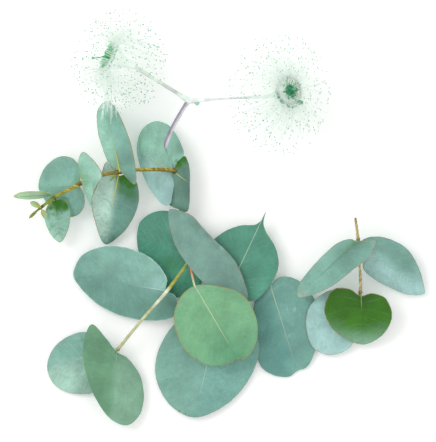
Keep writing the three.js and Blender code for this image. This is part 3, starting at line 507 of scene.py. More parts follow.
class GumLeafSettings(bpy.types.PropertyGroup):
    """Sizes and tones of the leaf blades."""
    thickness: measure("Thickness", "Thickness of a blade between its veins", 0.00036, 0.0001, 0.0006)
    rib_thickness: measure("Rib Thickness", "Thickness of a blade at its midrib", 0.00075, 0.0003, 0.001)
    ruffle: measure("Ruffle", "How far a blade's edge waves up and down", 0.00045, 0, 0.001)
    vein_relief: measure("Vein Relief", "How far a blade swells between its side veins", 0.00006, 0, 0.0003)
    vein_spacing: measure("Vein Spacing", "Distance between side veins along the midrib", 0.0036, 0.001, 0.01)
    mint: paint("Mint", "Light blades of the upper shoot", 0x94C3AF)
    pale_mint: paint("Pale Mint", "Palest blade ends of the upper shoot", 0xB4D4C6)
    frost: paint("Frost", "Blades under a full waxy bloom", 0xA7CECA)
    pale_sage: paint("Pale Sage", "Wrinkled blade of the lower shoot", 0x9BBFAF)
    sage: paint("Sage", "Ordinary blue-green blades", 0x7FAE9F)
    blue_sage: paint("Blue Sage", "Blue-grey blades of the middle group", 0x78A99D)
    grey_sage: paint("Grey Sage", "Grey-green blade halves", 0x6D9C8E)
    grey_teal: paint("Grey Teal", "Shaded grey-green blade halves", 0x799F93)
    blue_teal: paint("Blue Teal", "Broad bluish blade of the middle group", 0x6AA097)
    teal: paint("Teal", "Darker green blades of the middle group", 0x52907A)
    pale_green: paint("Pale Green", "Yellowish pale blades near the tip", 0xAECFA6)
    rib_green: paint("Rib Green", "Olive midrib of the blade without bloom", 0x83994F)
    bright_teal: paint("Bright Teal", "Clear dark green blade of the middle group", 0x4C9479)
    pale_rib: paint("Pale Rib", "Greyish cream midribs", 0xA8C0A6)
    shadow_sage: paint("Shadow Sage", "Shaded blade of the upper shoot's first pair", 0x668C7C)
    sage_green: paint("Sage Green", "Light half of the lower blades", 0x80AA90)
    moss: paint("Moss", "Dark half of the lower blades", 0x6A9A78)
    beige_mint: paint("Beige Mint", "Bleached blade tip", 0xA9BDAE)
    spring: paint("Spring Green", "Bright yellowish-green blades", 0x76AD81)
    spring_shade: paint("Spring Shade", "Lower part of the bright blade", 0x5FA078)
    olive: paint("Olive", "Smallest leaves at the shoot's tip", 0xA9C68B)
    # Leaf Green is also the painted shade at blade bases where leaves overlap
    leaf_green: paint("Leaf Green", "Bare green where the bloom is rubbed off", 0x337214)
    deep_green: paint("Deep Green", "Blade without any bloom", 0x3C7518)
    deep_shade: paint("Deep Shade", "Darkest part of the blade without bloom", 0x2E5C12)
    cream: paint("Cream", "Pale midribs", 0xBCD3A0)
    straw: paint("Straw", "Yellowish midribs", 0xB6C58A)
    yellow: paint("Yellow", "Young midribs and margins", 0xC2BF5A)
    gold: paint("Gold", "Golden margins", 0xA08B55)
    rose: paint("Rose", "Pinkish-brown margins", 0xA79383)
    brown: paint("Brown", "Brown margins and weathered spots", 0x7D6338)
    coral: paint("Coral", "Reddish leaf stalk", 0xDD6B50)


class GumStemSettings(bpy.types.PropertyGroup):
    """Sizes and tones of the stems."""
    ridge: FloatProperty(
        name="Ridge", description="Height of the stem's twisted edges as a share of its radius", default=0.1,
        min=0, max=0.3)
    twist: measure("Twist", "Length of stem on which its edges turn once round", 0.0046, 0.002, 0.1)
    knot_swell: FloatProperty(
        name="Knot Swell", description="How much a stem swells at its knots", default=0.3, min=0, max=1)
    gold_bark: paint("Golden Bark", "Light bark of the main stem", 0xB8A83C)
    # Dark Bark is also the painted shade on the main stem's lower side
    dark_bark: paint("Dark Bark", "Twisted dark streaks in the golden bark", 0x5A4718)
    knot_bark: paint("Knot Bark", "Dark bark at the knots", 0x37331A)
    straw_bark: paint("Straw Bark", "Pale bark of the right-hand stem", 0xCDBE88)
    straw_streak: paint("Straw Streak", "Brown twisted streaks in the pale bark", 0x85703E)
    scar: paint("Scar", "Brown bark at the lower shoot's knot", 0x6E5638)
    young_bark: paint("Young Bark", "Green bark at the upper shoot's tip", 0x7A9630)
    cut_end: paint("Cut End", "Pale wood at the lower shoot's end", 0xE2E4C8)
    stalk_foot: paint("Stalk Foot", "Flower stalk where it leaves the leaf pair", 0x84B2A3)
    green_bark: paint("Green Bark", "Bark of the lower shoot", 0xA6AA52)
    green_streak: paint("Green Streak", "Brownish streaks along the lower shoot", 0x7F7A3A)
    stalk_bloom: paint("Stalk Bloom", "Purple-grey bloom on the flower stalk", 0x8A8291)
    # Also the painted highlight along one side of the flower stalk and its arms
    stalk_streak_and_highlight: paint("Stalk Light", "Whitish streaks on the flower stalk", 0xD9D6DF)
    arm_green: paint("Arm Green", "Pale green of the arm to the right blossom", 0xDDEBDF)
    arm_leaf: paint("Arm Leaf Green", "Greener tone of the arm to the left blossom", 0xD0E4D2)
    nub_green: paint("Nub Green", "Green bud scar at the fork", 0x8CC4A4)


class GumBlossomSettings(bpy.types.PropertyGroup):
    """Numbers, sizes and tones of the blossoms."""
    filaments: IntProperty(
        name="Filaments", description="Filaments tried for one blossom", default=900, min=50, max=1200)
    filament_radius: measure("Filament Radius", "Radius of one filament", 0.00006, 0.00003, 0.0003)
    anther_radius: measure("Anther Radius", "Radius of the knob that ends a filament", 0.0003, 0.0001, 0.0006)
    filament: paint("Filament", "Near-white filaments", 0xE2ECE5)
    anther: paint("Anther", "Green pollen knobs", 0x9CCBB0)
    anther_dark: paint("Dark Anther", "Darker pollen knobs", 0x559C7B)
    band: paint("Band", "Green ring of the blossom seen from its side", 0x66C68C)
    cup: paint("Cup", "Waxy pale green cup", 0xE8F2EA)
    cup_rib: paint("Cup Rib", "Darker green ribs of the cup", 0xD3E6D7)
    disc: paint("Disc", "Moist green disc in the cup", 0x35A578)
    needle: paint("Inner Stamen", "Short dark green stamens on the disc", 0x45A06C)


class GumStageSettings(bpy.types.PropertyGroup):
    """The floor, the lights and the camera."""
    view_height: measure("View Height", "Height of the picture at the sprig", 0.221, 0.05, 1)
    lens: FloatProperty(name="Lens", description="Focal length of the camera", default=300, min=50, max=600,
                        unit="CAMERA")
    sky: FloatProperty(name="Sky", description="Strength of the even white light", default=0.9, min=0, max=3)
    lamp: FloatProperty(name="Lamp", description="Power of the soft lamp at the upper left", default=5, min=0,
                        max=50, unit="POWER")
    floor: paint("Floor", "Pale matt surface", 0xFCFCFB)


def curve_through(points, closed=False):
    """A function that gives the place at a share from 0 to 1 of a smooth line through the points."""
    rows = [np.array(p, float) for p in points]
    count = len(rows)

    def at(share):
        reach = (count if closed else count - 1) * share
        step = min(int(reach), count - 1 if closed else count - 2)
        part = reach - step
        if closed:
            before, start, stop, after = (rows[(step + i) % count] for i in (-1, 0, 1, 2))
        else:
            start, stop = rows[step], rows[step + 1]
            before = rows[step - 1] if step > 0 else 2 * start - stop
            after = rows[step + 2] if step + 2 < count else 2 * stop - start
        pairs = ((before, start), (start, stop), (stop, after))
        first, own, last = (max(float((b - a) @ (b - a)), 1e-12) ** 0.25 for a, b in pairs)
        leave = ((start - before) / first - (stop - before) / (first + own) + (stop - start) / own) * own
        arrive = ((stop - start) / own - (after - start) / (own + last) + (after - stop) / last) * own
        return (start + leave * part + (-3 * start + 3 * stop - 2 * leave - arrive) * part**2
                + (2 * start - 2 * stop + leave + arrive) * part**3)

    return at


def spots_on(routes, count):
    """Places spread along these routes, count steps to each."""
    lines = [curve_through([p[:3] for p in route]) for route in routes]
    return np.array([line(i / count) for line in lines for i in range(count + 1)])


def lengths_along(line):
    """How far each place of a broken line is from its start."""
    return np.concatenate([[0], np.cumsum(np.linalg.norm(np.diff(line, axis=0), axis=1))])


def bow(start, bend, stop, shares):
    """The places at these shares of a bowed line from start to stop."""
    return np.array([start * (1 - s) ** 2 + 2 * bend * s * (1 - s) + stop * s * s for s in shares])


def even_route(route, step):
    """Evenly spaced places, headings and radii along a route of (x, y, z, radius) points."""
    fine = spots_on([route], ROUTE_STEPS)
    run = lengths_along(fine)
    stops = np.interp(np.linspace(0, 1, len(route)), np.linspace(0, 1, ROUTE_STEPS + 1), run)
    count = max(4, int(run[-1] / step))
    along = np.linspace(0, run[-1], count + 1)
    places = np.column_stack([np.interp(along, run, fine[:, k]) for k in range(3)])
    heads = np.gradient(places, axis=0)
    heads /= np.linalg.norm(heads, axis=1)[:, None]
    return along, places, heads, np.interp(along, stops, [p[3] for p in route])


def unit(vector):
    return vector / max(np.linalg.norm(vector), 1e-12)


def across(direction):
    """Two directions square to this one and to each other."""
    side = np.cross(direction, (0, 0, 1))
    side = unit(side) if np.linalg.norm(side) > 0.05 else np.array((1.0, 0, 0))
    return side, np.cross(side, direction)


def soft(value, low, high):
    """Eases from 0 at low to 1 at high."""
    share = np.clip((value - low) / (high - low), 0, 1)
    return share * share * (3 - 2 * share)


def ripple(places, scale, seed):
    """Smooth noise from -1 to 1 at each place."""
    shift = Vector((seed * 7.3, seed * 3.1, seed * 5.7))
    return np.array([noise.noise(Vector(p) * scale + shift) for p in places])


def pick(*pieces):
    """Selects these pieces alone and makes the first one active."""
    bpy.ops.object.select_all(action="DESELECT")
    for piece in pieces:
        piece.select_set(True)
    bpy.context.view_layer.objects.active = pieces[0]


def corners(piece):
    """The place of each corner of a mesh, in its own metres."""
    flat = np.empty(3 * len(piece.data.vertices))
    piece.data.vertices.foreach_get("co", flat)
    return flat.reshape(-1, 3)


def new_grid(name, columns, rows):
    """A flat grid, with each corner's place across it from -0.5 to 0.5 and its row, to lay or roll."""
    bpy.ops.object.select_all(action="DESELECT")
    bpy.ops.mesh.primitive_grid_add(x_subdivisions=columns, y_subdivisions=rows, size=1, location=(0, 0, 0))
    piece = bpy.context.active_object
    piece.name = piece.data.name = name
    flat = corners(piece)
    return piece, flat[:, 0], np.rint((flat[:, 1] + 0.5) * rows).astype(int)


def move_corners(piece, places):
    """Puts each corner of a mesh at its place in millimetres."""
    piece.data.vertices.foreach_set("co", (places * MM).ravel())
    piece.data.update()


def note(piece, name, *columns):
    """Keeps up to three numbers at each corner, for the material to read; the rest of them are 0."""
    rows = np.zeros((len(piece.data.vertices), 3))
    for index, column in enumerate(columns):
        rows[:, index] = column
    layer = piece.data.attributes.get(name) or piece.data.attributes.new(name, "FLOAT_VECTOR", "POINT")
    layer.data.foreach_set("vector", rows.ravel())


def close_up(piece):
    """Welds seams and poles and turns the faces outwards."""
    pick(piece)
    bpy.ops.object.mode_set(mode="EDIT")
    bpy.ops.mesh.select_all(action="SELECT")
    bpy.ops.mesh.remove_doubles(threshold=WELD_GAP)
    bpy.ops.mesh.normals_make_consistent(inside=False)
    bpy.ops.object.mode_set(mode="OBJECT")


def smooth(piece, angle=0.9):
    pick(piece)
    bpy.ops.object.shade_smooth_by_angle(angle=angle)


def join(*pieces):
    pick(*pieces)
    if len(pieces) > 1:
        bpy.ops.object.join()
    return pieces[0]


def dress(piece, *materials):
    for material in materials:
        piece.data.materials.append(material)


def settle(piece, node):
    """Puts a finished piece in its node's place."""
    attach(piece, BODY)
    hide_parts(node)


def roll(name, route, sides, step, radius_share=1.0, shape=None):
    """A stem: a grid rolled round its route, with closed ends, and what is known at its corners.

    shape(along, turn, place, radius) gives the radius at each corner.
    """
    along, places, heads, radii = even_route(route, step)
    last = len(along) + 3
    piece, around, row = new_grid(name, sides, last)
    turn = (around + 0.5) * 2 * math.pi
    at = np.clip(row - 2, 0, len(along) - 1)
    narrow = np.ones(len(row))
    narrow[(row == 0) | (row == last)] = 0
    narrow[(row == 1) | (row == last - 1)] = 0.8
    over = np.zeros(len(row))
    over[row <= 1] = -END_BULGE * radii[0]
    over[row >= last - 1] = END_BULGE * radii[-1]
    side, top = (np.array(ways)[at] for ways in zip(*(across(head) for head in heads)))
    out = side * np.cos(turn)[:, None] + top * np.sin(turn)[:, None]
    radius = radii[at] * radius_share
    if shape:
        radius = shape(along[at], turn, places[at], radius)
    spots = places[at] + heads[at] * over[:, None] + out * (radius * narrow)[:, None]
    spots[:, 2] = np.maximum(spots[:, 2], 0)
    move_corners(piece, spots)
    return piece, dict(turn=turn, along=along[at], place=places[at], spots=spots)


def leaf_lines(leaf, shares):
    """The midrib and the left and right edge of a leaf, at these shares of the way to its tip."""
    base, end = np.array(leaf["base"], float), np.array(leaf["end"], float)
    bend = (base + end) / 2 + (0, 0, 2 * leaf["arch"])

    def edge(points, lift):
        done = []
        for i, point in enumerate(points):
            share = (i + 1) / (len(points) + 1)
            even = base[2] + (end[2] - base[2]) * share + lift * math.sin(math.pi * share)
            done.append((*point[:2], point[2] if len(point) > 2 else even))
        return done

    left, right = edge(leaf["left"], leaf["lift"][0]), edge(leaf["right"], leaf["lift"][1])
    loop = curve_through([base, *left, end, *reversed(right)], closed=True)
    left_edge = np.array([loop(share / 2) for share in shares])
    right_edge = np.array([loop(1 - share / 2) for share in shares])
    return bow(base, bend, end, shares), left_edge, right_edge


def uneven(edge, rib_line, shares, seed):
    """A blade's edge with small dents, pulled in a little towards the midrib."""
    out = edge - rib_line
    out[:, 2] = 0
    out /= np.maximum(np.linalg.norm(out, axis=1), 0.5)[:, None]
    rough = ripple(edge, 0.9, seed) * 0.1 + ripple(edge, 0.28, seed + 5) * 0.14
    rough *= soft(shares, 0, 0.06) * soft(1 - shares, 0, 0.06)
    return edge + out * (rough - EDGE_TRIM * (rough != 0))[:, None]


def nearest(places, line):
    """Distance from each place to a broken line."""
    starts, steps = line[:-1], np.diff(line, axis=0)
    size = np.maximum((steps**2).sum(axis=1), 1e-12)
    away = places[:, None, :] - starts[None]
    share = np.clip((away * steps[None]).sum(axis=2) / size, 0, 1)
    return np.linalg.norm(away - share[..., None] * steps[None], axis=2).min(axis=1)


def veins(rib, along, spacing):
    """A wave from -1 to 1 that is highest along the side veins, which lean towards the tip."""
    return np.cos(2 * math.pi * (along - VEIN_LEAN * np.abs(rib) + VEIN_CURVE * rib**2) / spacing)


def stains_on(name, places):
    """How strong the brown, the pale and the green stain is at each place of a blade; the green is partly
    painted shade.
    """
    marks = np.zeros((len(places), 3))
    for x, y, radius, *strength in STAINS.get(name, ()):
        away = np.linalg.norm(places[:, :2] - (x, y), axis=1)
        share = 1 - soft(away, radius * 0.35, radius * 1.1)
        marks = np.maximum(marks, share[:, None] * np.array(strength))
    return marks.T


def shade_on(name, places):
    """How much painted shade (above 0) and painted light (below 0) a blade has at each place."""
    marks = np.zeros(len(places))
    for x, y, radius, strength in SHADES.get(name, ()):
        marks += strength * (1 - soft(np.linalg.norm(places[:, :2] - (x, y), axis=1), 0, radius))
    return marks


def blade(name, leaf, look, settings, seed):
    """A leaf's blade: a grid laid between its midrib and its measured edges, then thickened."""
    columns, rows = SMALL_GRID if "small" in leaf else BLADE_GRID
    piece, beside, row = new_grid(name + "_blade", columns, rows)
    # The columns stand a little closer together at the midrib, the rows at the base and the tip
    reach = np.rint(beside * columns) * 2 / columns
    reach = np.sign(reach) * np.abs(reach) ** 1.15
    shares = (1 - np.cos(np.linspace(0, math.pi, rows + 1))) / 2
    rib_line, *edges = leaf_lines(leaf, shares)
    left, right = (uneven(edge, rib_line, shares, seed + index) for index, edge in enumerate(edges))
    bare_left, bare_right = (int(share * rows) for share in look["bare"])
    margin = np.vstack([left[bare_left:], right[bare_right:][::-1]])

    rib, edge = rib_line[row], np.where((reach < 0)[:, None], left[row], right[row])
    out = np.abs(reach)
    places = rib + (edge - rib) * out[:, None]
    places[:, 2] = rib[:, 2] + (edge[:, 2] - rib[:, 2]) * out**1.4
    run = lengths_along(rib_line)
    along = run[row]
    to_rib = nearest(places, rib_line) * np.sign(reach)
    to_margin = nearest(places, margin)
    to_edge = nearest(places, np.vstack([left, right[::-1]]))

    # The edge's ruffle, the swelling between the veins, the midrib's groove and dried folds
    inside = soft(to_edge, 0, 3)
    wave = ripple(places, 0.13, seed + 9) * out**2 + 0.5 * ripple(places, 0.3, seed + 12) * out
    swell = veins(to_rib, along, settings.vein_spacing / MM) * inside * soft(out, 0.02, 0.15)
    places[:, 2] += settings.ruffle / MM * wave * inside**0.3
    places[:, 2] -= settings.vein_relief / MM * swell
    places[:, 2] -= RIB_GROOVE * (1 - soft(np.abs(to_rib), 0.15, 0.9)) * soft(to_edge, 0.2, 2)
    folds = places[:, 1] + 1.2 * ripple(places, 0.12, seed + 20)
    places[:, 2] += look["wrinkle"] * np.sin(2 * math.pi * folds / FOLD_LENGTH) * soft(to_edge, 0, 4)

    move_corners(piece, places)
    note(piece, "blade", to_rib, along, to_margin)
    note(piece, "stain", *stains_on(name, places))
    note(piece, "shade", shade_on(name, places))
    close_up(piece)
    thicken(piece, run[-1], settings)
    return piece, rib_line, run


def thicken(piece, length, settings):
    """Gives the sheet its thickness, more at the midrib and less at the edge."""
    kept = np.empty(3 * len(piece.data.vertices))
    piece.data.attributes["blade"].data.foreach_get("vector", kept)
    rib, along, edge = kept.reshape(-1, 3).T
    thin = settings.thickness / settings.rib_thickness
    ridge = (1 - soft(np.abs(rib), 0.2, 0.8)) * (1 - 0.75 * along / length)
    weights = (thin + (1 - thin) * ridge) * (0.55 + 0.45 * soft(edge, 0, 0.9))
    group = piece.vertex_groups.new(name="thick")
    for index, weight in enumerate(weights):
        group.add([index], float(weight), "REPLACE")
    wall = piece.modifiers.new("Wall", "SOLIDIFY")
    wall.thickness = settings.rib_thickness
    wall.offset = 0
    wall.vertex_group = group.name
    pick(piece)
    bpy.ops.object.modifier_apply(modifier=wall.name)
    piece.vertex_groups.clear()


def stem_spot(place):
    """The nearest place on any stem."""
    spots = spots_on((MAIN_ROUTE, LOWER_ROUTE, RIGHT_ROUTE), STEM_STEPS)
    return spots[np.linalg.norm(spots - place, axis=1).argmin()]


def leaf_foot(name, leaf, rib_line, run):
    """The short stalk that carries a blade, run from the stem into the midrib."""
    base = rib_line[0]
    if "stalk" in leaf:
        start, thick = np.array(leaf["stalk"], float), 0.5
        gap = stem_spot(start) - start
        start = start + unit(gap) * min(0.9, np.linalg.norm(gap))
    else:
        start, thick = stem_spot(base), 0.3 if "small" in leaf else 0.42
    inner = rib_line[np.searchsorted(run, min(2.2, run[-1] * 0.12))]
    outer = rib_line[np.searchsorted(run, min(6, run[-1] * 0.25))]
    sunk = [place - (0, 0, FOOT_SINK) for place in (base, inner, outer)]
    places, shares = (start, *sunk), (1.15, 1, 0.7, 0.32)
    route = [(*place, thick * share) for place, share in zip(places, shares)]
    foot, form = roll(name + "_foot", route, FOOT_SIDES, 0.35)
    away = form["place"] - base
    reach = np.linalg.norm(away, axis=1) * np.sign(away @ (outer - base))
    red = 1 - soft(np.linalg.norm(form["place"] - start, axis=1), 5.5, 11.5)
    note(foot, "blade", 0, np.minimum(reach, 0.4), CLEAR_OF_MARGIN)
    note(foot, "stain", red if name == RED_STALKED else 0)
    note(foot, "bark", *form["spots"].T)
    note(foot, "shade")
    close_up(foot)
    return foot


def add_leaf(name):
    """One leaf: its blade joined with its short stalk."""
    leaf, look = LEAVES[name], {**LOOK, **LOOKS[name]}
    settings = bpy.context.scene.gum_leaf
    seed = 3 + list(LEAVES).index(name)
    piece, rib_line, run = blade(name, leaf, look, settings, seed)
    wax = leaf_material(name, look, float(run[-1]), settings)
    dress(piece, wax)
    foot = leaf_foot(name, leaf, rib_line, run)
    dress(foot, coral_stalk(settings) if name == RED_STALKED else wax)
    piece = join(piece, foot)
    smooth(piece)
    settle(piece, name)


class Wires:
    """Adds nodes to one tree and joins them."""

    def __init__(self, tree):
        self.tree = tree

    def node(self, kind, **settings):
        node = self.tree.nodes.new(kind)
        for key, value in settings.items():
            setattr(node, key, value)
        return node

    def feed(self, node, inputs):
        for key, value in inputs.items():
            if isinstance(value, bpy.types.NodeSocket):
                self.tree.links.new(value, node.inputs[key])
            elif isinstance(value, (tuple, list)) and len(value) == 3 and node.inputs[key].type == "RGBA":
                node.inputs[key].default_value = (*value, 1)
            else:
                node.inputs[key].default_value = value
        return node

    def math(self, operation, first, second=0.0):
        node = self.node("ShaderNodeMath", operation=operation)
        return self.feed(node, {0: first, 1: second}).outputs[0]

    def times(self, first, second):
        return self.math("MULTIPLY", first, second)

    def plus(self, first, second):
        return self.math("ADD", first, second)

    def minus(self, first, second):
        return self.math("SUBTRACT", first, second)

    def sway(self, value, spread, size):
        """The value, moved up and down by this much as the noise spreads round its middle."""
        return self.plus(value, self.times(self.minus(spread, 0.5), size))

    def ease(self, value, low, high, start=0.0, stop=1.0):
        node = self.node("ShaderNodeMapRange", interpolation_type="SMOOTHSTEP")
        given = {"Value": value, "From Min": low, "From Max": high, "To Min": start, "To Max": stop}
        return self.feed(node, given).outputs[0]

    def mix(self, share, first, second, blend="MIX"):
        node = self.node("ShaderNodeMix", data_type="RGBA", blend_type=blend)
        return self.feed(node, {0: share, 6: first, 7: second}).outputs[2]

    def shaded(self, colour, share):
        """The colour, darker or lighter by this share."""
        grey = self.feed(self.node("ShaderNodeCombineColor"), {0: share, 1: share, 2: share}).outputs[0]
        return self.mix(1.0, colour, grey, "MULTIPLY")

    def noise(self, place, scale, detail=2.0, rough=0.5):
        node = self.node("ShaderNodeTexNoise")
        given = {"Vector": place, "Scale": scale, "Detail": detail, "Roughness": rough}
        return self.feed(node, given).outputs["Fac"]

    def cells(self, place, scale, feature="F1"):
        node = self.node("ShaderNodeTexVoronoi", feature=feature)
        return self.feed(node, {"Vector": place, "Scale": scale}).outputs

    def three(self, name):
        """The three numbers that the mesh keeps under this name, together and one by one."""
        node = self.node("ShaderNodeAttribute", attribute_name=name)
        parts = self.feed(self.node("ShaderNodeSeparateXYZ"), {0: node.outputs["Vector"]})
        return node.outputs["Vector"], *parts.outputs

    def place(self):
        """The place on the piece in millimetres."""
        spot = self.node("ShaderNodeTexCoord").outputs["Object"]
        scaled = self.node("ShaderNodeVectorMath", operation="SCALE")
        return self.feed(scaled, {0: spot, "Scale": 1 / MM}).outputs[0]


def new_group(name, inputs):
    """An empty node group with these inputs; it returns its wires, its inputs and its output node."""
    tree = bpy.data.node_groups.new(name, "ShaderNodeTree")
    for label, value in inputs.items():
        kind = "NodeSocketColor" if isinstance(value, tuple) else "NodeSocketFloat"
        socket = tree.interface.new_socket(label, in_out="INPUT", socket_type=kind)
        socket.default_value = (*value, 1) if isinstance(value, tuple) else value
    tree.interface.new_socket("Color", in_out="OUTPUT", socket_type="NodeSocketColor")
    for label in ("Roughness", "Height"):
        tree.interface.new_socket(label, in_out="OUTPUT", socket_type="NodeSocketFloat")
    wires = Wires(tree)
    return wires, wires.node("NodeGroupInput").outputs, wires.node("NodeGroupOutput")


def blade_group():
    """Waxy leaf: two halves, base and tip tones, midrib, side veins, fine net, margin, stains, and painted
    light and shade.
    """
    if "waxy blade" in bpy.data.node_groups:
        return bpy.data.node_groups["waxy blade"]
    w, given, out = new_group("waxy blade", {
        "Left": GREY, "Right": GREY, "Base": GREY, "Base Reach": 4.0, "Tip": GREY, "Tip Reach": 4.0,
        "Margin": GREY, "Margin Width": 0.4, "Rib": GREY, "Rib Width": 0.3, "Rib Reach": 0.9, "Length": 40.0,
        "Veins": 0.3, "Vein Spacing": 3.6, "Wisps": 0.2, "Blend": 2.0, "Specks": 0.0, "Brown": GREY,
        "Green": GREY, "Pale": GREY,
    })
    spot = w.place()
    _, rib, along, edge = w.three("blade")
    _, browned, paled, green_and_shade = w.three("stain")
    _, shade, _, _ = w.three("shade")
    broad, fine, grain = w.noise(spot, 0.11, 3), w.noise(spot, 0.75, 4, 0.6), w.noise(spot, 3.2, 2)
    side = w.math("ABSOLUTE", rib)

    # The two halves, the base and the tip, partly painted light and shade, then light and dark clouds in the
    # wax
    leaning = w.plus(w.math("DIVIDE", w.sway(rib, fine, 1.6), given["Blend"]), 0.5)
    colour = w.mix(w.ease(leaning, 0, 1), given["Left"], given["Right"])
    near = w.plus(w.sway(along, fine, 3.0), w.times(side, 0.25))
    colour = w.mix(w.ease(near, 0, given["Base Reach"], 1, 0), colour, given["Base"])
    far = w.sway(w.minus(given["Length"], along), broad, 5.0)
    colour = w.mix(w.ease(far, 0, given["Tip Reach"], 1, 0), colour, given["Tip"])
    cloud = w.plus(w.times(broad, 0.65), w.times(fine, 0.35))
    colour = w.shaded(colour, w.ease(cloud, 0.3, 0.7, 0.835, 1.14))

    # Side veins that lean towards the tip, and the fine net between them
    lean = w.plus(w.minus(along, w.times(side, VEIN_LEAN)), w.times(w.times(side, side), VEIN_CURVE))
    lean = w.sway(w.sway(lean, broad, 2.4), fine, 0.7)
    half = w.times(given["Vein Spacing"], 0.5)
    strand = w.ease(w.math("PINGPONG", lean, half), 0.04, 0.36, 1, 0)
    second = w.ease(w.math("PINGPONG", w.times(lean, 2.7), half), 0.03, 0.5, 0.45, 0)
    strand = w.times(w.math("MAXIMUM", strand, second), w.ease(edge, 0.3, 2.5))
    strand = w.times(strand, w.ease(w.noise(spot, 0.2, 2), 0.35, 0.6, 0.3, 1))
    net = w.times(w.ease(w.cells(spot, 0.9, "DISTANCE_TO_EDGE")["Distance"], 0.0, 0.09, 1, 0), 0.4)
    lines = w.math("MAXIMUM", strand, net)
    lighter = w.mix(0.5, colour, given["Pale"])
    colour = w.mix(w.times(w.times(lines, given["Veins"]), 0.75), colour, lighter)

    # Dark wisps: uneven lines along the side veins, where the wax is rubbed thin
    flow = w.feed(w.node("ShaderNodeCombineXYZ"), {
        0: w.times(lean, 0.42), 1: w.times(side, 0.1), 2: w.math("SIGN", rib),
    }).outputs[0]
    wavy = w.math("ABSOLUTE", w.minus(w.noise(flow, 1.0, 4, 0.65), 0.5))
    wisp = w.times(w.ease(wavy, 0.0, 0.035, 1, 0), w.ease(w.noise(spot, 0.17, 2), 0.36, 0.56))
    wisp = w.times(wisp, given["Wisps"])
    colour = w.mix(w.times(wisp, 0.55), colour, given["Base"])

    # Painted shade and light, in broad clouds
    painted_light_and_shade = w.minus(1.0, w.times(shade, w.ease(fine, 0.2, 0.8, 0.75, 1.0)))
    colour = w.shaded(colour, painted_light_and_shade)

    # Dark green at blade bases, partly rubbed bloom and partly painted shade where leaves overlap; pale and
    # weathered brown spots, and small brown specks
    torn = w.times(w.ease(w.sway(browned, fine, 1.6), 0.3, 0.62), w.ease(browned, 0.0, 0.2))
    colour = w.mix(w.times(green_and_shade, w.ease(fine, 0.25, 0.6, 0.75, 1)), colour, given["Green"])
    colour = w.mix(w.times(paled, w.ease(fine, 0.3, 0.6, 0.6, 1)), colour, given["Pale"])
    colour = w.mix(w.times(torn, 0.7), colour, given["Brown"])
    dots = w.cells(spot, 0.32)
    chance = w.feed(w.node("ShaderNodeSeparateColor"), {0: dots["Color"]}).outputs[0]
    dot = w.times(w.ease(dots["Distance"], 0.03, 0.13, 1, 0), w.ease(chance, 0.6, 0.7))
    colour = w.mix(w.times(w.times(dot, given["Specks"]), 0.55), colour, given["Brown"])

    # Midrib, narrowing towards the tip
    share = w.math("DIVIDE", along, given["Length"])
    width = w.times(given["Rib Width"], w.ease(share, 0, 1, 1.25, 0.45))
    reached = w.ease(w.minus(share, given["Rib Reach"]), -0.25, 0.02, 1, 0)
    stripe = w.times(w.ease(w.math("DIVIDE", side, width), 0.55, 1.25, 1, 0), reached)
    colour = w.mix(w.times(stripe, w.ease(fine, 0.2, 0.5, 0.75, 1)), colour, given["Rib"])

    # Margin, broken up as dried edges are, and a fine grain over all
    wide = w.times(given["Margin Width"], w.ease(w.noise(spot, 0.35, 3), 0.3, 0.65, 0.35, 1.5))
    rim = w.ease(w.math("DIVIDE", edge, wide), 0.55, 1.3, 1, 0)
    rim_tone = w.mix(w.ease(w.noise(spot, 0.5, 2), 0.5, 0.72), given["Margin"], given["Brown"])
    rim_tone = w.mix(0.45, rim_tone, given["Margin"])
    colour = w.mix(w.times(rim, w.ease(w.noise(spot, 0.16, 2), 0.38, 0.58, 0.25, 0.85)), colour, rim_tone)
    colour = w.shaded(colour, w.ease(grain, 0.3, 0.7, 0.97, 1.03))

    gloss = w.minus(w.ease(fine, 0.3, 0.7, 0.52, 0.66), w.times(green_and_shade, 0.14))
    rise = w.plus(w.times(lines, -0.35), w.times(stripe, 0.5))
    rise = w.plus(w.plus(rise, w.times(grain, 0.14)), w.times(fine, 0.5))
    w.feed(out, {"Color": colour, "Roughness": gloss, "Height": w.minus(rise, w.times(wisp, 0.4))})
    return w.tree


def bark_group():
    """Twisted bark: light and dark streaks round the stem, darker knots, an uneven skin, and one side mixed
    towards the second tone: painted shade on the main stem's lower side, a painted highlight on the flower
    stalk and its arms.
    """
    if "twisted bark" in bpy.data.node_groups:
        return bpy.data.node_groups["twisted bark"]
    w, given, out = new_group("twisted bark", {
        "Light": GREY, "Dark": GREY, "Knot": GREY, "End": GREY, "Streaks": 0.6, "Roughness": 0.6,
    })
    spot, wrap = w.place(), w.three("bark")[0]
    _, knot, tip, painted_light_and_shade = w.three("stain")
    fine, wound = w.noise(spot, 1.6, 3, 0.6), w.noise(wrap, 1.0, 3, 0.55)
    streak = w.ease(w.sway(wound, fine, 0.35), 0.47, 0.6)
    streaked = w.math("MAXIMUM", w.times(streak, given["Streaks"]), painted_light_and_shade)
    colour = w.mix(tip, w.mix(streaked, given["Light"], given["Dark"]), given["End"])
    colour = w.shaded(colour, w.ease(w.noise(spot, 0.22, 2), 0.35, 0.65, 0.85, 1.15))
    colour = w.mix(w.times(knot, w.ease(fine, 0.35, 0.6, 0.35, 1)), colour, given["Knot"])
    rise = w.plus(w.times(streak, -0.4), w.times(fine, 0.8))
    w.feed(out, {"Color": colour, "Roughness": w.sway(given["Roughness"], fine, 0.2), "Height": rise})
    return w.tree


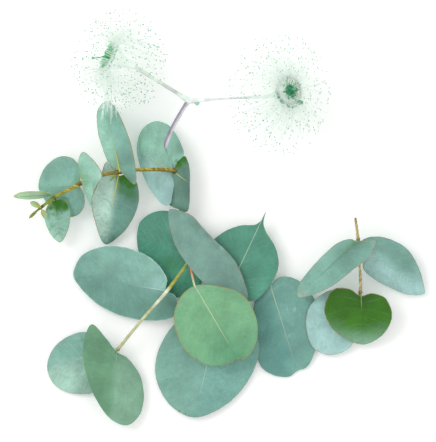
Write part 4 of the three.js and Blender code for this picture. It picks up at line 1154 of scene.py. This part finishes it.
def skin_group():
    """Soft mottled skin of a blossom's parts: a main tone, a second tone in ribs or patches."""
    if "soft skin" in bpy.data.node_groups:
        return bpy.data.node_groups["soft skin"]
    w, given, out = new_group("soft skin", {
        "Main": GREY, "Second": GREY, "Scale": 1.2, "Amount": 0.5, "Roughness": 0.5,
    })
    spot = w.place()
    broad = w.noise(spot, given["Scale"], 3, 0.6)
    fine = w.noise(spot, w.times(given["Scale"], 4.0), 2)
    _, ribbed, _, _ = w.three("stain")
    share = w.math("MAXIMUM", w.times(w.ease(broad, 0.42, 0.62), given["Amount"]), ribbed)
    colour = w.mix(share, given["Main"], given["Second"])
    rise = w.plus(broad, w.times(fine, 0.4))
    w.feed(out, {"Color": colour, "Roughness": w.sway(given["Roughness"], fine, 0.2), "Height": rise})
    return w.tree


def finish_with(name, group, values, depth, specular=0.4, coat=0.0, glow=0.0):
    """A material whose colour, roughness and relief come from one group, with a faint white glow where one is
    given: painted light.
    """
    material = bpy.data.materials.new(name)
    material.use_nodes = True
    wires = Wires(material.node_tree)
    skin = wires.feed(wires.node("ShaderNodeGroup", node_tree=group), values).outputs
    bump = {"Height": skin["Height"], "Distance": depth, "Strength": 1.0}
    relief = wires.feed(wires.node("ShaderNodeBump"), bump)
    wires.feed(material.node_tree.nodes["Principled BSDF"], {
        "Base Color": skin["Color"], "Roughness": skin["Roughness"], "Normal": relief.outputs[0],
        "Specular IOR Level": specular, "Coat Weight": coat, "Emission Color": WHITE,
        "Emission Strength": glow,
    })
    return material


def leaf_material(name, look, length, settings):
    """A blade's wax: each tone and number of its look goes to the group's input of the same name."""
    values = {
        "Length": length, "Vein Spacing": settings.vein_spacing / MM, "Brown": tuple(settings.brown),
        "Green": tuple(settings.leaf_green), "Pale": tuple(settings.frost),
    }
    for key, value in look.items():
        if key not in SHAPE_KEYS:
            label = key.replace("_", " ").title()
            values[label] = tuple(getattr(settings, value)) if isinstance(value, str) else float(value)
    return finish_with(name + " blade", blade_group(), values, 0.00018, specular=0.22)


def coral_stalk(settings):
    """The stalk of the one leaf that is reddish where it leaves the stem."""
    return finish_with("coral stalk", bark_group(), {
        "Light": tuple(settings.cream), "Dark": tuple(settings.straw), "Knot": tuple(settings.coral),
        "Streaks": 0.3, "Roughness": 0.5,
    }, 0.00008)


def bark(name, light, dark, knot, end, streaks, rough, depth=0.00012, glow=0.0):
    """A stem's bark in four of the settings' tones."""
    tones = {"Light": light, "Dark": dark, "Knot": knot, "End": end}
    values = {label: tuple(getattr(bpy.context.scene.gum_stem, key)) for label, key in tones.items()}
    values.update(Streaks=streaks, Roughness=rough)
    return finish_with(name, bark_group(), values, depth, specular=0.3, glow=glow)


def skin(name, main, second, scale, amount, rough, depth, **more):
    """A blossom part's soft skin in two of the settings' tones."""
    settings = bpy.context.scene.gum_blossom
    return finish_with(name, skin_group(), {
        "Main": tuple(getattr(settings, main)), "Second": tuple(getattr(settings, second)),
        "Scale": scale, "Amount": amount, "Roughness": rough,
    }, depth, **more)


def bark_form(settings, ridge, along, turn, place, radius):
    """The radius of a stem with twisted edges, swollen knots and an uneven skin."""
    spiral = turn + along * MM / settings.twist * 2 * math.pi
    swell = np.zeros(len(along))
    for knot in KNOTS:
        away = np.linalg.norm(place - knot, axis=1)
        swell = np.maximum(swell, np.exp(-((away / KNOT_REACH) ** 2)))
    wrap = np.column_stack([np.cos(turn) * 2, np.sin(turn) * 2, along])
    growth = ridge * np.cos(2 * spiral) + settings.knot_swell * swell + 0.05 * ripple(wrap, 0.8, 4)
    return radius * (1 + growth), swell, spiral


def stem_part(name, route, material, ridge, radius_share=0.9, ends=None, painted_light_and_shade=None):
    """One rolled stem, round where its ridge is 0.

    ends(along, length) gives the share of the end tone; the last argument gives, from each corner's
    direction and place, the share of the second tone on one side: painted shade on the main stem,
    a painted highlight on the flower stalk and its arms.
    """
    settings = bpy.context.scene.gum_stem
    kept = {}

    def form(along, turn, place, radius):
        grown, kept["knot"], kept["spiral"] = bark_form(settings, ridge, along, turn, place, radius)
        return grown

    part, made = roll(name, route, STEM_SIDES, STEM_STEP, radius_share, form)
    along = made["along"]
    stretch = 0.12 if ridge else 0.05
    turn = kept["spiral"] if ridge else made["turn"]
    note(part, "bark", np.cos(turn) * 0.9, np.sin(turn) * 0.9, along * stretch)
    tip = ends(along, float(along.max())) if ends else 0
    side = painted_light_and_shade(made["spots"] - made["place"], made["place"]) if painted_light_and_shade else 0
    note(part, "stain", kept["knot"] if ridge else 0, tip, side)
    close_up(part)
    dress(part, material)
    return part


def facing(out, way):
    """How far each direction points along way, from -1 to 1."""
    return out @ way / np.maximum(np.linalg.norm(out, axis=1), 1e-6)


def finish_stem(node, slot, *parts):
    """Joins the parts of a stem into the one piece that takes its node's place."""
    piece = join(*parts)
    smooth(piece)
    settle(piece, node)


def blossom_frame(blossom):
    """The rim's middle, the cup's foot and the blossom's axis."""
    rim, foot = np.array(blossom["rim"], float), np.array(blossom["foot"], float)
    return rim, foot, unit(rim - foot)


def turned(name, profile, at, axis, sides, ribs, rib_depth, seed=1, rough=0.0):
    """A turned form: a grid rolled round an axis so that its rows follow a (radius, height) profile."""
    side, over = across(axis)
    line = curve_through([(r, h, 0) for r, h in profile])
    rows = 8 * len(profile)
    piece, around, row = new_grid(name, sides, rows)
    turn = (around + 0.5) * 2 * math.pi
    steps = np.array([line(i / rows) for i in range(rows + 1)])
    radius, height = np.maximum(steps[row, 0], 0), steps[row, 1]
    groove = np.cos(ribs * turn)
    radius = np.where((row == 0) | (row == rows), 0, radius) * (1 + rib_depth * groove)
    out = side * np.cos(turn)[:, None] + over * np.sin(turn)[:, None]
    spots = at + out * radius[:, None] + axis * height[:, None]
    if rough:
        spots += axis * (rough * ripple(spots, 1.1, seed) * (radius > 0.2))[:, None]
    move_corners(piece, spots)
    note(piece, "stain", soft(-groove, 0.2, 1.0))
    close_up(piece)
    return piece


def strand_start():
    """One straight filament, modelled once: a three-sided thread one unit long, with its knob above."""
    bpy.ops.object.select_all(action="DESELECT")
    bpy.ops.mesh.primitive_cylinder_add(vertices=3, radius=1, depth=1, location=(0, 0, 0.5))
    thread = bpy.context.active_object
    bpy.ops.object.transform_apply(location=True, rotation=True, scale=True)
    bpy.ops.object.mode_set(mode="EDIT")
    bpy.ops.mesh.select_all(action="DESELECT")
    bpy.ops.mesh.select_mode(type="EDGE")
    bpy.ops.object.mode_set(mode="OBJECT")
    for edge in thread.data.edges:
        low, high = (thread.data.vertices[i].co.z for i in edge.vertices)
        edge.select = abs(low - high) > 0.5
    bpy.ops.object.mode_set(mode="EDIT")
    bpy.ops.mesh.subdivide(number_cuts=5)
    bpy.ops.mesh.select_mode(type="VERT")
    bpy.ops.object.mode_set(mode="OBJECT")
    count = len(thread.data.vertices)
    bpy.ops.object.select_all(action="DESELECT")
    bpy.ops.mesh.primitive_ico_sphere_add(subdivisions=1, radius=1, location=(0, 0, KNOB_HEIGHT))
    ball = bpy.context.active_object
    bpy.ops.object.transform_apply(location=True, rotation=True, scale=True)
    join(thread, ball)
    shape = np.array([v.co for v in thread.data.vertices])
    faces = [tuple(p.vertices) for p in thread.data.polygons]
    bpy.data.objects.remove(thread, do_unlink=True)
    return shape, faces, count


def copy_strands(name, lines, radius, knob_radius):
    """Copies the one filament along every line into a mesh; the faces of the knobs come second."""
    shape, faces, count = strand_start()
    ring, ball = shape[:count], shape[count:] - (0, 0, KNOB_HEIGHT)
    shares, inverse = np.unique(np.round(ring[:, 2], 4), return_inverse=True)
    blocks, thread_faces, knob_faces = [], [], []
    for index, (start, bend, stop, scale, weight) in enumerate(lines):
        path = bow(start, bend, stop, shares)
        side, over = across(unit(stop - start))
        thin = radius * weight * (1.15 - 0.4 * shares)
        blocks.append(path[inverse] + (ring[:, :1] * side + ring[:, 1:2] * over) * thin[inverse][:, None])
        ahead = unit(2 * (stop - bend))
        side, over = across(ahead)
        oval = ball[:, :1] * side + ball[:, 1:2] * over * 0.75 + ball[:, 2:] * ahead * 1.2
        blocks.append(stop + oval * (knob_radius * scale))
        shift = index * len(shape)
        for face in faces:
            (knob_faces if face[0] >= count else thread_faces).append(tuple(i + shift for i in face))
    mesh = bpy.data.meshes.new(name)
    mesh.from_pydata((np.vstack(blocks) * MM).tolist(), [], thread_faces + knob_faces)
    piece = bpy.data.objects.new(name, mesh)
    bpy.context.collection.objects.link(piece)
    mesh.polygons.foreach_set("material_index", [0] * len(thread_faces) + [1] * len(knob_faces))
    note(piece, "stain")
    return piece


def stamen_lines(blossom, count):
    """Lines from the ring on the rim out to places spread over the blossom's round cloud."""
    rim, _, axis = blossom_frame(blossom)
    dice = random.Random(blossom["seed"])
    avoid = spots_on((STALK_ROUTE, LEFT_ARM_ROUTE, RIGHT_ARM_ROUTE), STALK_STEPS)
    golden = math.pi * (3 - math.sqrt(5))
    ring_width = RING_OUTSIDE - blossom["roots"]
    lines = []
    for i in range(count):
        level = 1 - 2 * (i + 0.5) / count
        level *= abs(level) ** blossom["flat"]
        width = math.sqrt(1 - level * level)
        way = np.array((width * math.cos(golden * i), width * math.sin(golden * i), level))
        way = unit(way + np.array([dice.gauss(0, 0.06) for _ in range(3)]))
        fill = 1 - 0.45 * dice.random() ** 1.5
        tip = np.array(blossom["cloud"]) + way * np.array(blossom["reach"]) * fill
        forward = float((tip - rim) @ axis)
        out = tip - rim - axis * forward
        spread = float(np.linalg.norm(out))
        if spread < LEAST_SPREAD:
            continue
        out = out / spread
        root = rim + out * (blossom["roots"] + ring_width * dice.random())
        root = root + axis * (0.4 + 0.3 * dice.random())
        lean = 0.55 if forward > 0 else 0.15
        bend = root + out * max(spread, 9) * (0.36 + 0.12 * dice.random())
        bend = bend + axis * (forward * lean + 1.5 + dice.random())
        path = bow(root, bend, tip, (0.3, 0.45, 0.6, 0.75, 0.9, 1))
        if np.linalg.norm(path[:, None] - avoid[None], axis=2).min() < CLEAR_OF_STALK:
            continue
        lines.append((root, bend, tip, 0.45 + 0.75 * dice.random(), 0.8 + 0.5 * dice.random()))
    for goal in blossom["streaks"]:
        for _ in range(BUNDLE_SIZE):
            tip = np.array(goal) + [dice.gauss(0, 0.35), dice.gauss(0, 1.2), dice.gauss(0, 0.3)]
            root = rim + unit(tip - rim) * BUNDLE_START
            lines.append((root, (root + tip) / 2 + (0, 0, 2.5), tip, 0.5, 2.4))
    return lines


def add_stamens(side_name):
    """The cloud of filaments, each with its pollen knob, and the ring that they stand on."""
    settings = bpy.context.scene.gum_blossom
    blossom = BLOSSOMS[side_name]
    rim, _, axis = blossom_frame(blossom)
    lines = stamen_lines(blossom, settings.filaments)
    name = side_name + "_stamens"
    threads = copy_strands(name, lines, settings.filament_radius / MM, settings.anther_radius / MM)
    angles = np.linspace(-math.pi / 2, 1.5 * math.pi, 9)
    bead = [(RING_RADIUS + BEAD_WIDTH * math.cos(a), BEAD_HEIGHT * math.sin(a)) for a in angles]
    ring = turned(name + "_ring", bead, rim, axis, RIM_SIDES, ribs=36, rib_depth=0.012)
    # The filaments' faint white glow is painted light that lifts their shade
    dress(threads,
          skin(side_name + " filament", "filament", "cup", 0.25, 0.3, 0.55, 0.00003, specular=0.2, glow=0.1),
          skin(side_name + " anther", "anther", "anther_dark", 0.3, 0.75, 0.6, 0.00003, specular=0.3))
    dress(ring, skin(side_name + " ring", blossom["hollow"], "filament", 0.5, 0.4, 0.5, 0.00006))
    piece = join(threads, ring)
    smooth(piece, 1.2)
    settle(piece, side_name + "_blossom_stamens")


def add_cup(side_name):
    """The waxy funnel cup under a blossom, from its foot over its rim and down inside."""
    rim, foot, axis = blossom_frame(BLOSSOMS[side_name])
    height = float(np.linalg.norm(rim - foot)) - 1.0
    wall = ((2.2, 0.3), (3.3, 0.55), (5.1, 0.8), (6.9, 0.94), (7.2, 0.975))
    profile = [(0, 0.75), (1.5, 0.75), (1.85, 1.1), *((radius, height * share) for radius, share in wall),
               (6.9, height), (6.1, height - 0.3), (3, height - 1.3), (0, height - 1.5)]
    piece = turned(side_name + "_cup", profile, foot, axis, RIM_SIDES, ribs=4, rib_depth=0.02)
    smooth(piece)
    # The cup's faint white glow is painted light that lifts its shade
    dress(piece, skin(side_name + " cup wax", "cup", "cup_rib", 0.5, 0.55, 0.5, 0.0001, glow=0.14))
    settle(piece, side_name + "_blossom_cup")


def style_post(name, blossom, rim, axis):
    """The style: a thin post from the disc that ends in a small knob."""
    tip, foot = np.array(blossom["style"], float), rim + axis * 0.6
    way = unit(tip - foot)
    spots = ((foot, 0.7), (foot + axis * 1.2, 0.42), ((foot + tip) / 2, 0.32), (tip - way * 1.1, 0.32),
             (tip - way * 0.6, 0.62), (tip, 0.74), (tip + way * 0.4, 0.4))
    post, _ = roll(name + "_style", [(*spot, radius) for spot, radius in spots], 16, 0.2)
    note(post, "stain")
    close_up(post)
    return post


def inner_lines(blossom, rim, axis):
    """Lines of the short tuft on the disc, and of the outer stamens whose knobs lie in an arc beside it."""
    side, over = across(axis)
    dice = random.Random(blossom["seed"] + 1)
    tuft, arc = [], []
    number, inner, outer, height, lean = blossom["tuft"]
    for _ in range(number):
        angle = dice.random() * 2 * math.pi
        out = side * math.cos(angle) + over * math.sin(angle)
        start = rim + out * (inner + (outer - inner) * dice.random()) + axis * 0.4
        stop = start + axis * height * (0.35 + 0.65 * dice.random()) + out * lean * dice.random()
        bend = (start + stop) / 2 + out * 0.4 * dice.random() + axis * 0.5
        tuft.append((start, bend, stop, 0.5 + 0.7 * dice.random(), 0.8 + 0.5 * dice.random()))
    number, middle = blossom["arc"]
    for _ in range(number):
        angle = middle + 1.15 * (2 * dice.random() - 1)
        out = side * math.cos(angle) + over * math.sin(angle)
        start = rim + out * DISC_RADIUS + axis * 0.5
        stop = rim + out * (7.9 + 1.2 * dice.random()) + axis * (1.6 + dice.random())
        arc.append((start, (start + stop) / 2 + axis * 0.6, stop, 0.9 + 0.6 * dice.random(), 0.7))
    return tuft, arc


def add_disc(side_name):
    """The green disc in the cup's mouth, the style on it and its short dark stamens."""
    blossom = BLOSSOMS[side_name]
    rim, _, axis = blossom_frame(blossom)
    name = side_name + "_disc"
    dome = [(0, -1.0), (3, -1.0), (5.4, -0.9), (6.5, -0.4), (DISC_RADIUS, 0), (6.1, 0.25), (4.6, 0.45),
            (3, 0.8), (1.6, 1), (0, 0.9)]
    disc = turned(name, dome, rim, axis, 60, ribs=10, rib_depth=0.02, seed=blossom["seed"], rough=0.12)
    away = corners(disc) / MM - rim
    out = np.linalg.norm(away - (away @ axis)[:, None] * axis, axis=1)
    note(disc, "stain", soft(out, 2, 3.4))
    post = style_post(name, blossom, rim, axis)
    tuft, arc = inner_lines(blossom, rim, axis)
    needles = copy_strands(name + "_tuft", tuft, NEEDLE_RADIUS, SMALL_KNOB)
    needles.data.polygons.foreach_set("material_index", [1] * len(needles.data.polygons))
    fringe = copy_strands(name + "_fringe", arc, FRINGE_RADIUS, SMALL_KNOB)
    moist = skin(side_name + " disc", "disc", blossom["hollow"], 0.7, 0.1, 0.35, 0.00015, coat=0.2)
    dark = skin(side_name + " inner stamens", *blossom["tones"], 0.6, 0.6, 0.5, 0.00003)
    knobs = skin(side_name + " fringe", "anther_dark", "anther", 0.4, 0.6, 0.6, 0.00003, specular=0.3)
    for part in (disc, post, needles):
        dress(part, moist, dark)
    dress(fringe, moist, knobs)
    piece = join(disc, post, needles, fringe)
    smooth(piece)
    settle(piece, side_name + "_blossom_disc")


class GUM_OT_stems(bpy.types.Operator):
    """Adds the woody main stem, the lower shoot's green stem and the right-hand shoot's stem"""
    bl_idname = "gum_sprig.stems"
    bl_label = "Stems"

    def execute(self, context):
        settings = context.scene.gum_stem
        golden = bark("golden bark", "gold_bark", "dark_bark", "knot_bark", "young_bark", 0.8, 0.55)
        green = bark("green bark", "green_bark", "green_streak", "scar", "cut_end", 0.5, 0.5)
        straw = bark("straw bark", "straw_bark", "straw_streak", "scar", "straw_bark", 0.85, 0.55)
        bud = bark("tip bud", "young_bark", "green_streak", "knot_bark", "green_bark", 0.6, 0.5)

        def underside(out, place):
            """Painted shade on the stem's lower side, and the dark bark round its second knot."""
            under = soft(facing(out, np.array((0, -1, 0))), -0.1, 0.7)
            near = np.exp(-((np.linalg.norm(place - DARK_KNOT, axis=1) / 4.5) ** 2))
            return np.maximum(under * soft(place[:, 0], -62, -46), 0.75 * near) * 0.8

        def pale_stretches(along, length):
            """The pale end tone on the lower shoot's stretch where it comes out from under the leaves, and,
            fainter, on its far part.
            """
            far = soft(along, 26, 34)
            return np.maximum(0.9 * soft(along, 15, 19) * (1 - far), 0.45 * far)

        main = stem_part("main_stem_bark", MAIN_ROUTE, golden, settings.ridge, painted_light_and_shade=underside,
                         ends=lambda along, length: 0.9 * soft(along, length - 22, length - 4))
        buds = [stem_part(f"axil_bud_{i}", route, golden, 0.02, ends=lambda along, length: 0.7)
                for i, route in enumerate(AXIL_BUDS)]
        finish_stem("main_stem", "wood_stem", main, *buds)
        right = stem_part("right_shoot_bark", RIGHT_ROUTE, straw, settings.ridge)
        finish_stem("right_shoot_stem", "wood_stem", right)
        lower = stem_part("lower_shoot_bark", LOWER_ROUTE, green, 0.03, 0.8, ends=pale_stretches)
        finish_stem("lower_shoot_stem", "green_stem", lower)
        finish_stem("tip_bud", "fresh_leaf", stem_part("tip_bud_scales", TIP_BUD, bud, 0.04))
        return {"FINISHED"}


class GUM_OT_flower_stalk(bpy.types.Operator):
    """Adds the forked flower stalk with its bloom and the bud scar at the fork"""
    bl_idname = "gum_sprig.flower_stalk"
    bl_label = "Flower Stalk"

    def execute(self, context):
        thin = 0.00005
        bloom = bark("stalk bloom", "stalk_bloom", "stalk_streak_and_highlight", "nub_green", "stalk_foot", 0.35, 0.5, thin)
        # The arms' faint white glow is painted light that lifts their shade
        pale = bark("arm wax", "arm_green", "stalk_streak_and_highlight", "nub_green", "stalk_bloom", 0.3, 0.5, thin, 0.13)
        tinted = bark("left arm wax", "arm_leaf", "stalk_streak_and_highlight", "nub_green", "stalk_bloom", 0.3, 0.5, thin,
                      0.04)
        green = bark("bud scar", "nub_green", "arm_green", "nub_green", "arm_green", 0.6, 0.5, thin)
        way = unit(np.array((0.75, -0.5, 0.45)))

        # Painted highlight along the side of the stalk and its arms that faces this way
        def painted_light_and_shade(out, place):
            return 0.9 * soft(facing(out, way), 0.35, 0.8)

        stalk = stem_part("flower_stalk_skin", STALK_ROUTE, bloom, 0, 0.84, painted_light_and_shade=painted_light_and_shade,
                          ends=lambda along, length: 1 - soft(along, 11, 12.6))
        left = stem_part("left_arm", LEFT_ARM_ROUTE, tinted, 0, 0.86, painted_light_and_shade=painted_light_and_shade,
                         ends=lambda along, length: 0.45 * soft(along, 5, 9) * (1 - soft(along, 11, 17)))
        right = stem_part("right_arm", RIGHT_ARM_ROUTE, pale, 0, 0.62, painted_light_and_shade=painted_light_and_shade)
        scar = stem_part("bud_scar", NUB_ROUTE, green, 0)
        finish_stem("flower_stalk", "flower_stalk", stalk, left, right, scar)
        return {"FINISHED"}


def leaf_group(start):
    """Adds every leaf whose name starts in this way."""
    for name in LEAVES:
        if name.startswith(start):
            add_leaf(name)


class GUM_OT_upper_leaves(bpy.types.Operator):
    """Adds the five pairs of leaves on the upper shoot"""
    bl_idname = "gum_sprig.upper_leaves"
    bl_label = "Upper Leaves"

    def execute(self, context):
        leaf_group("upper_leaf")
        return {"FINISHED"}


class GUM_OT_middle_leaves(bpy.types.Operator):
    """Adds the seven broad leaves of the middle group"""
    bl_idname = "gum_sprig.middle_leaves"
    bl_label = "Middle Leaves"

    def execute(self, context):
        leaf_group("middle_leaf")
        return {"FINISHED"}


class GUM_OT_lower_leaves(bpy.types.Operator):
    """Adds the pair of leaves at the lower shoot's end"""
    bl_idname = "gum_sprig.lower_leaves"
    bl_label = "Lower Leaves"

    def execute(self, context):
        leaf_group("lower_leaf")
        return {"FINISHED"}


class GUM_OT_right_leaves(bpy.types.Operator):
    """Adds the two pairs of leaves on the right-hand shoot"""
    bl_idname = "gum_sprig.right_leaves"
    bl_label = "Right Leaves"

    def execute(self, context):
        leaf_group("right_leaf")
        return {"FINISHED"}


class GUM_OT_blossoms(bpy.types.Operator):
    """Adds both blossoms: cups, green discs and clouds of stamens"""
    bl_idname = "gum_sprig.blossoms"
    bl_label = "Blossoms"

    def execute(self, context):
        for side_name in BLOSSOMS:
            add_cup(side_name)
            add_disc(side_name)
            add_stamens(side_name)
        return {"FINISHED"}


class GUM_OT_stage(bpy.types.Operator):
    """Adds the pale floor, the soft light and the camera straight above"""
    bl_idname = "gum_sprig.stage"
    bl_label = "Stage"

    def execute(self, context):
        settings = context.scene.gum_stage
        bpy.ops.object.select_all(action="DESELECT")
        bpy.ops.mesh.primitive_plane_add(size=4, location=(0, 0, 0))
        floor = context.active_object
        floor.name = "floor"
        material = bpy.data.materials.new("pale floor")
        material.use_nodes = True
        Wires(material.node_tree).feed(material.node_tree.nodes["Principled BSDF"], {
            "Base Color": tuple(settings.floor), "Roughness": 0.9, "Specular IOR Level": 0.1,
            "Emission Color": WHITE, "Emission Strength": FLOOR_GLOW,
        })
        dress(floor, material)
        world = bpy.data.worlds.new("even sky")
        world.use_nodes = True
        sky = world.node_tree.nodes["Background"]
        Wires(world.node_tree).feed(sky, {"Color": WHITE, "Strength": settings.sky})
        context.scene.world = world
        bpy.ops.object.light_add(type="AREA", location=LAMP_PLACE)
        lamp = context.active_object
        lamp.name = "soft_lamp"
        lamp.data.shape = "DISK"
        lamp.data.size = LAMP_SIZE
        lamp.data.energy = settings.lamp
        way = Vector((*SPRIG_MIDDLE, 0.01)) - lamp.location
        lamp.rotation_euler = way.to_track_quat("-Z", "Y").to_euler()
        away = settings.view_height * settings.lens / SENSOR_WIDTH
        bpy.ops.object.camera_add(location=(*SPRIG_MIDDLE, VIEWED_HEIGHT + away), rotation=(0, 0, 0))
        camera = context.active_object
        camera.data.lens = settings.lens
        camera.data.sensor_width = SENSOR_WIDTH
        context.scene.camera = camera
        context.scene.view_settings.view_transform = "Standard"
        return {"FINISHED"}


class GUM_PT_sprig(bpy.types.Panel):
    """Lists the sprig's pieces and their settings"""
    bl_idname = "GUM_PT_sprig"
    bl_label = "Gum Sprig"
    bl_space_type = "VIEW_3D"
    bl_region_type = "UI"
    bl_category = "Gum Sprig"

    def draw(self, context):
        layout = self.layout
        scene = context.scene
        for operator in STEPS:
            layout.operator(operator.bl_idname)
        for group in (scene.gum_leaf, scene.gum_stem, scene.gum_blossom, scene.gum_stage):
            box = layout.box()
            for key in group.__annotations__:
                box.prop(group, key)


SETTINGS = {
    "gum_leaf": GumLeafSettings, "gum_stem": GumStemSettings, "gum_blossom": GumBlossomSettings,
    "gum_stage": GumStageSettings,
}
STEPS = (
    GUM_OT_stage, GUM_OT_stems, GUM_OT_flower_stalk, GUM_OT_upper_leaves, GUM_OT_middle_leaves,
    GUM_OT_lower_leaves, GUM_OT_right_leaves, GUM_OT_blossoms,
)
CLASSES = (*SETTINGS.values(), *STEPS, GUM_PT_sprig)


def register():
    for cls in CLASSES:
        bpy.utils.register_class(cls)
    for name, cls in SETTINGS.items():
        setattr(bpy.types.Scene, name, PointerProperty(type=cls))


def unregister():
    for name in SETTINGS:
        delattr(bpy.types.Scene, name)
    for cls in reversed(CLASSES):
        bpy.utils.unregister_class(cls)


def main():
    register()
    bpy.ops.gum_sprig.stage()
    bpy.ops.gum_sprig.stems()
    bpy.ops.gum_sprig.flower_stalk()
    bpy.ops.gum_sprig.upper_leaves()
    bpy.ops.gum_sprig.middle_leaves()
    bpy.ops.gum_sprig.lower_leaves()
    bpy.ops.gum_sprig.right_leaves()
    bpy.ops.gum_sprig.blossoms()
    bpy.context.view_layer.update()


if __name__ == "__main__":
    main()
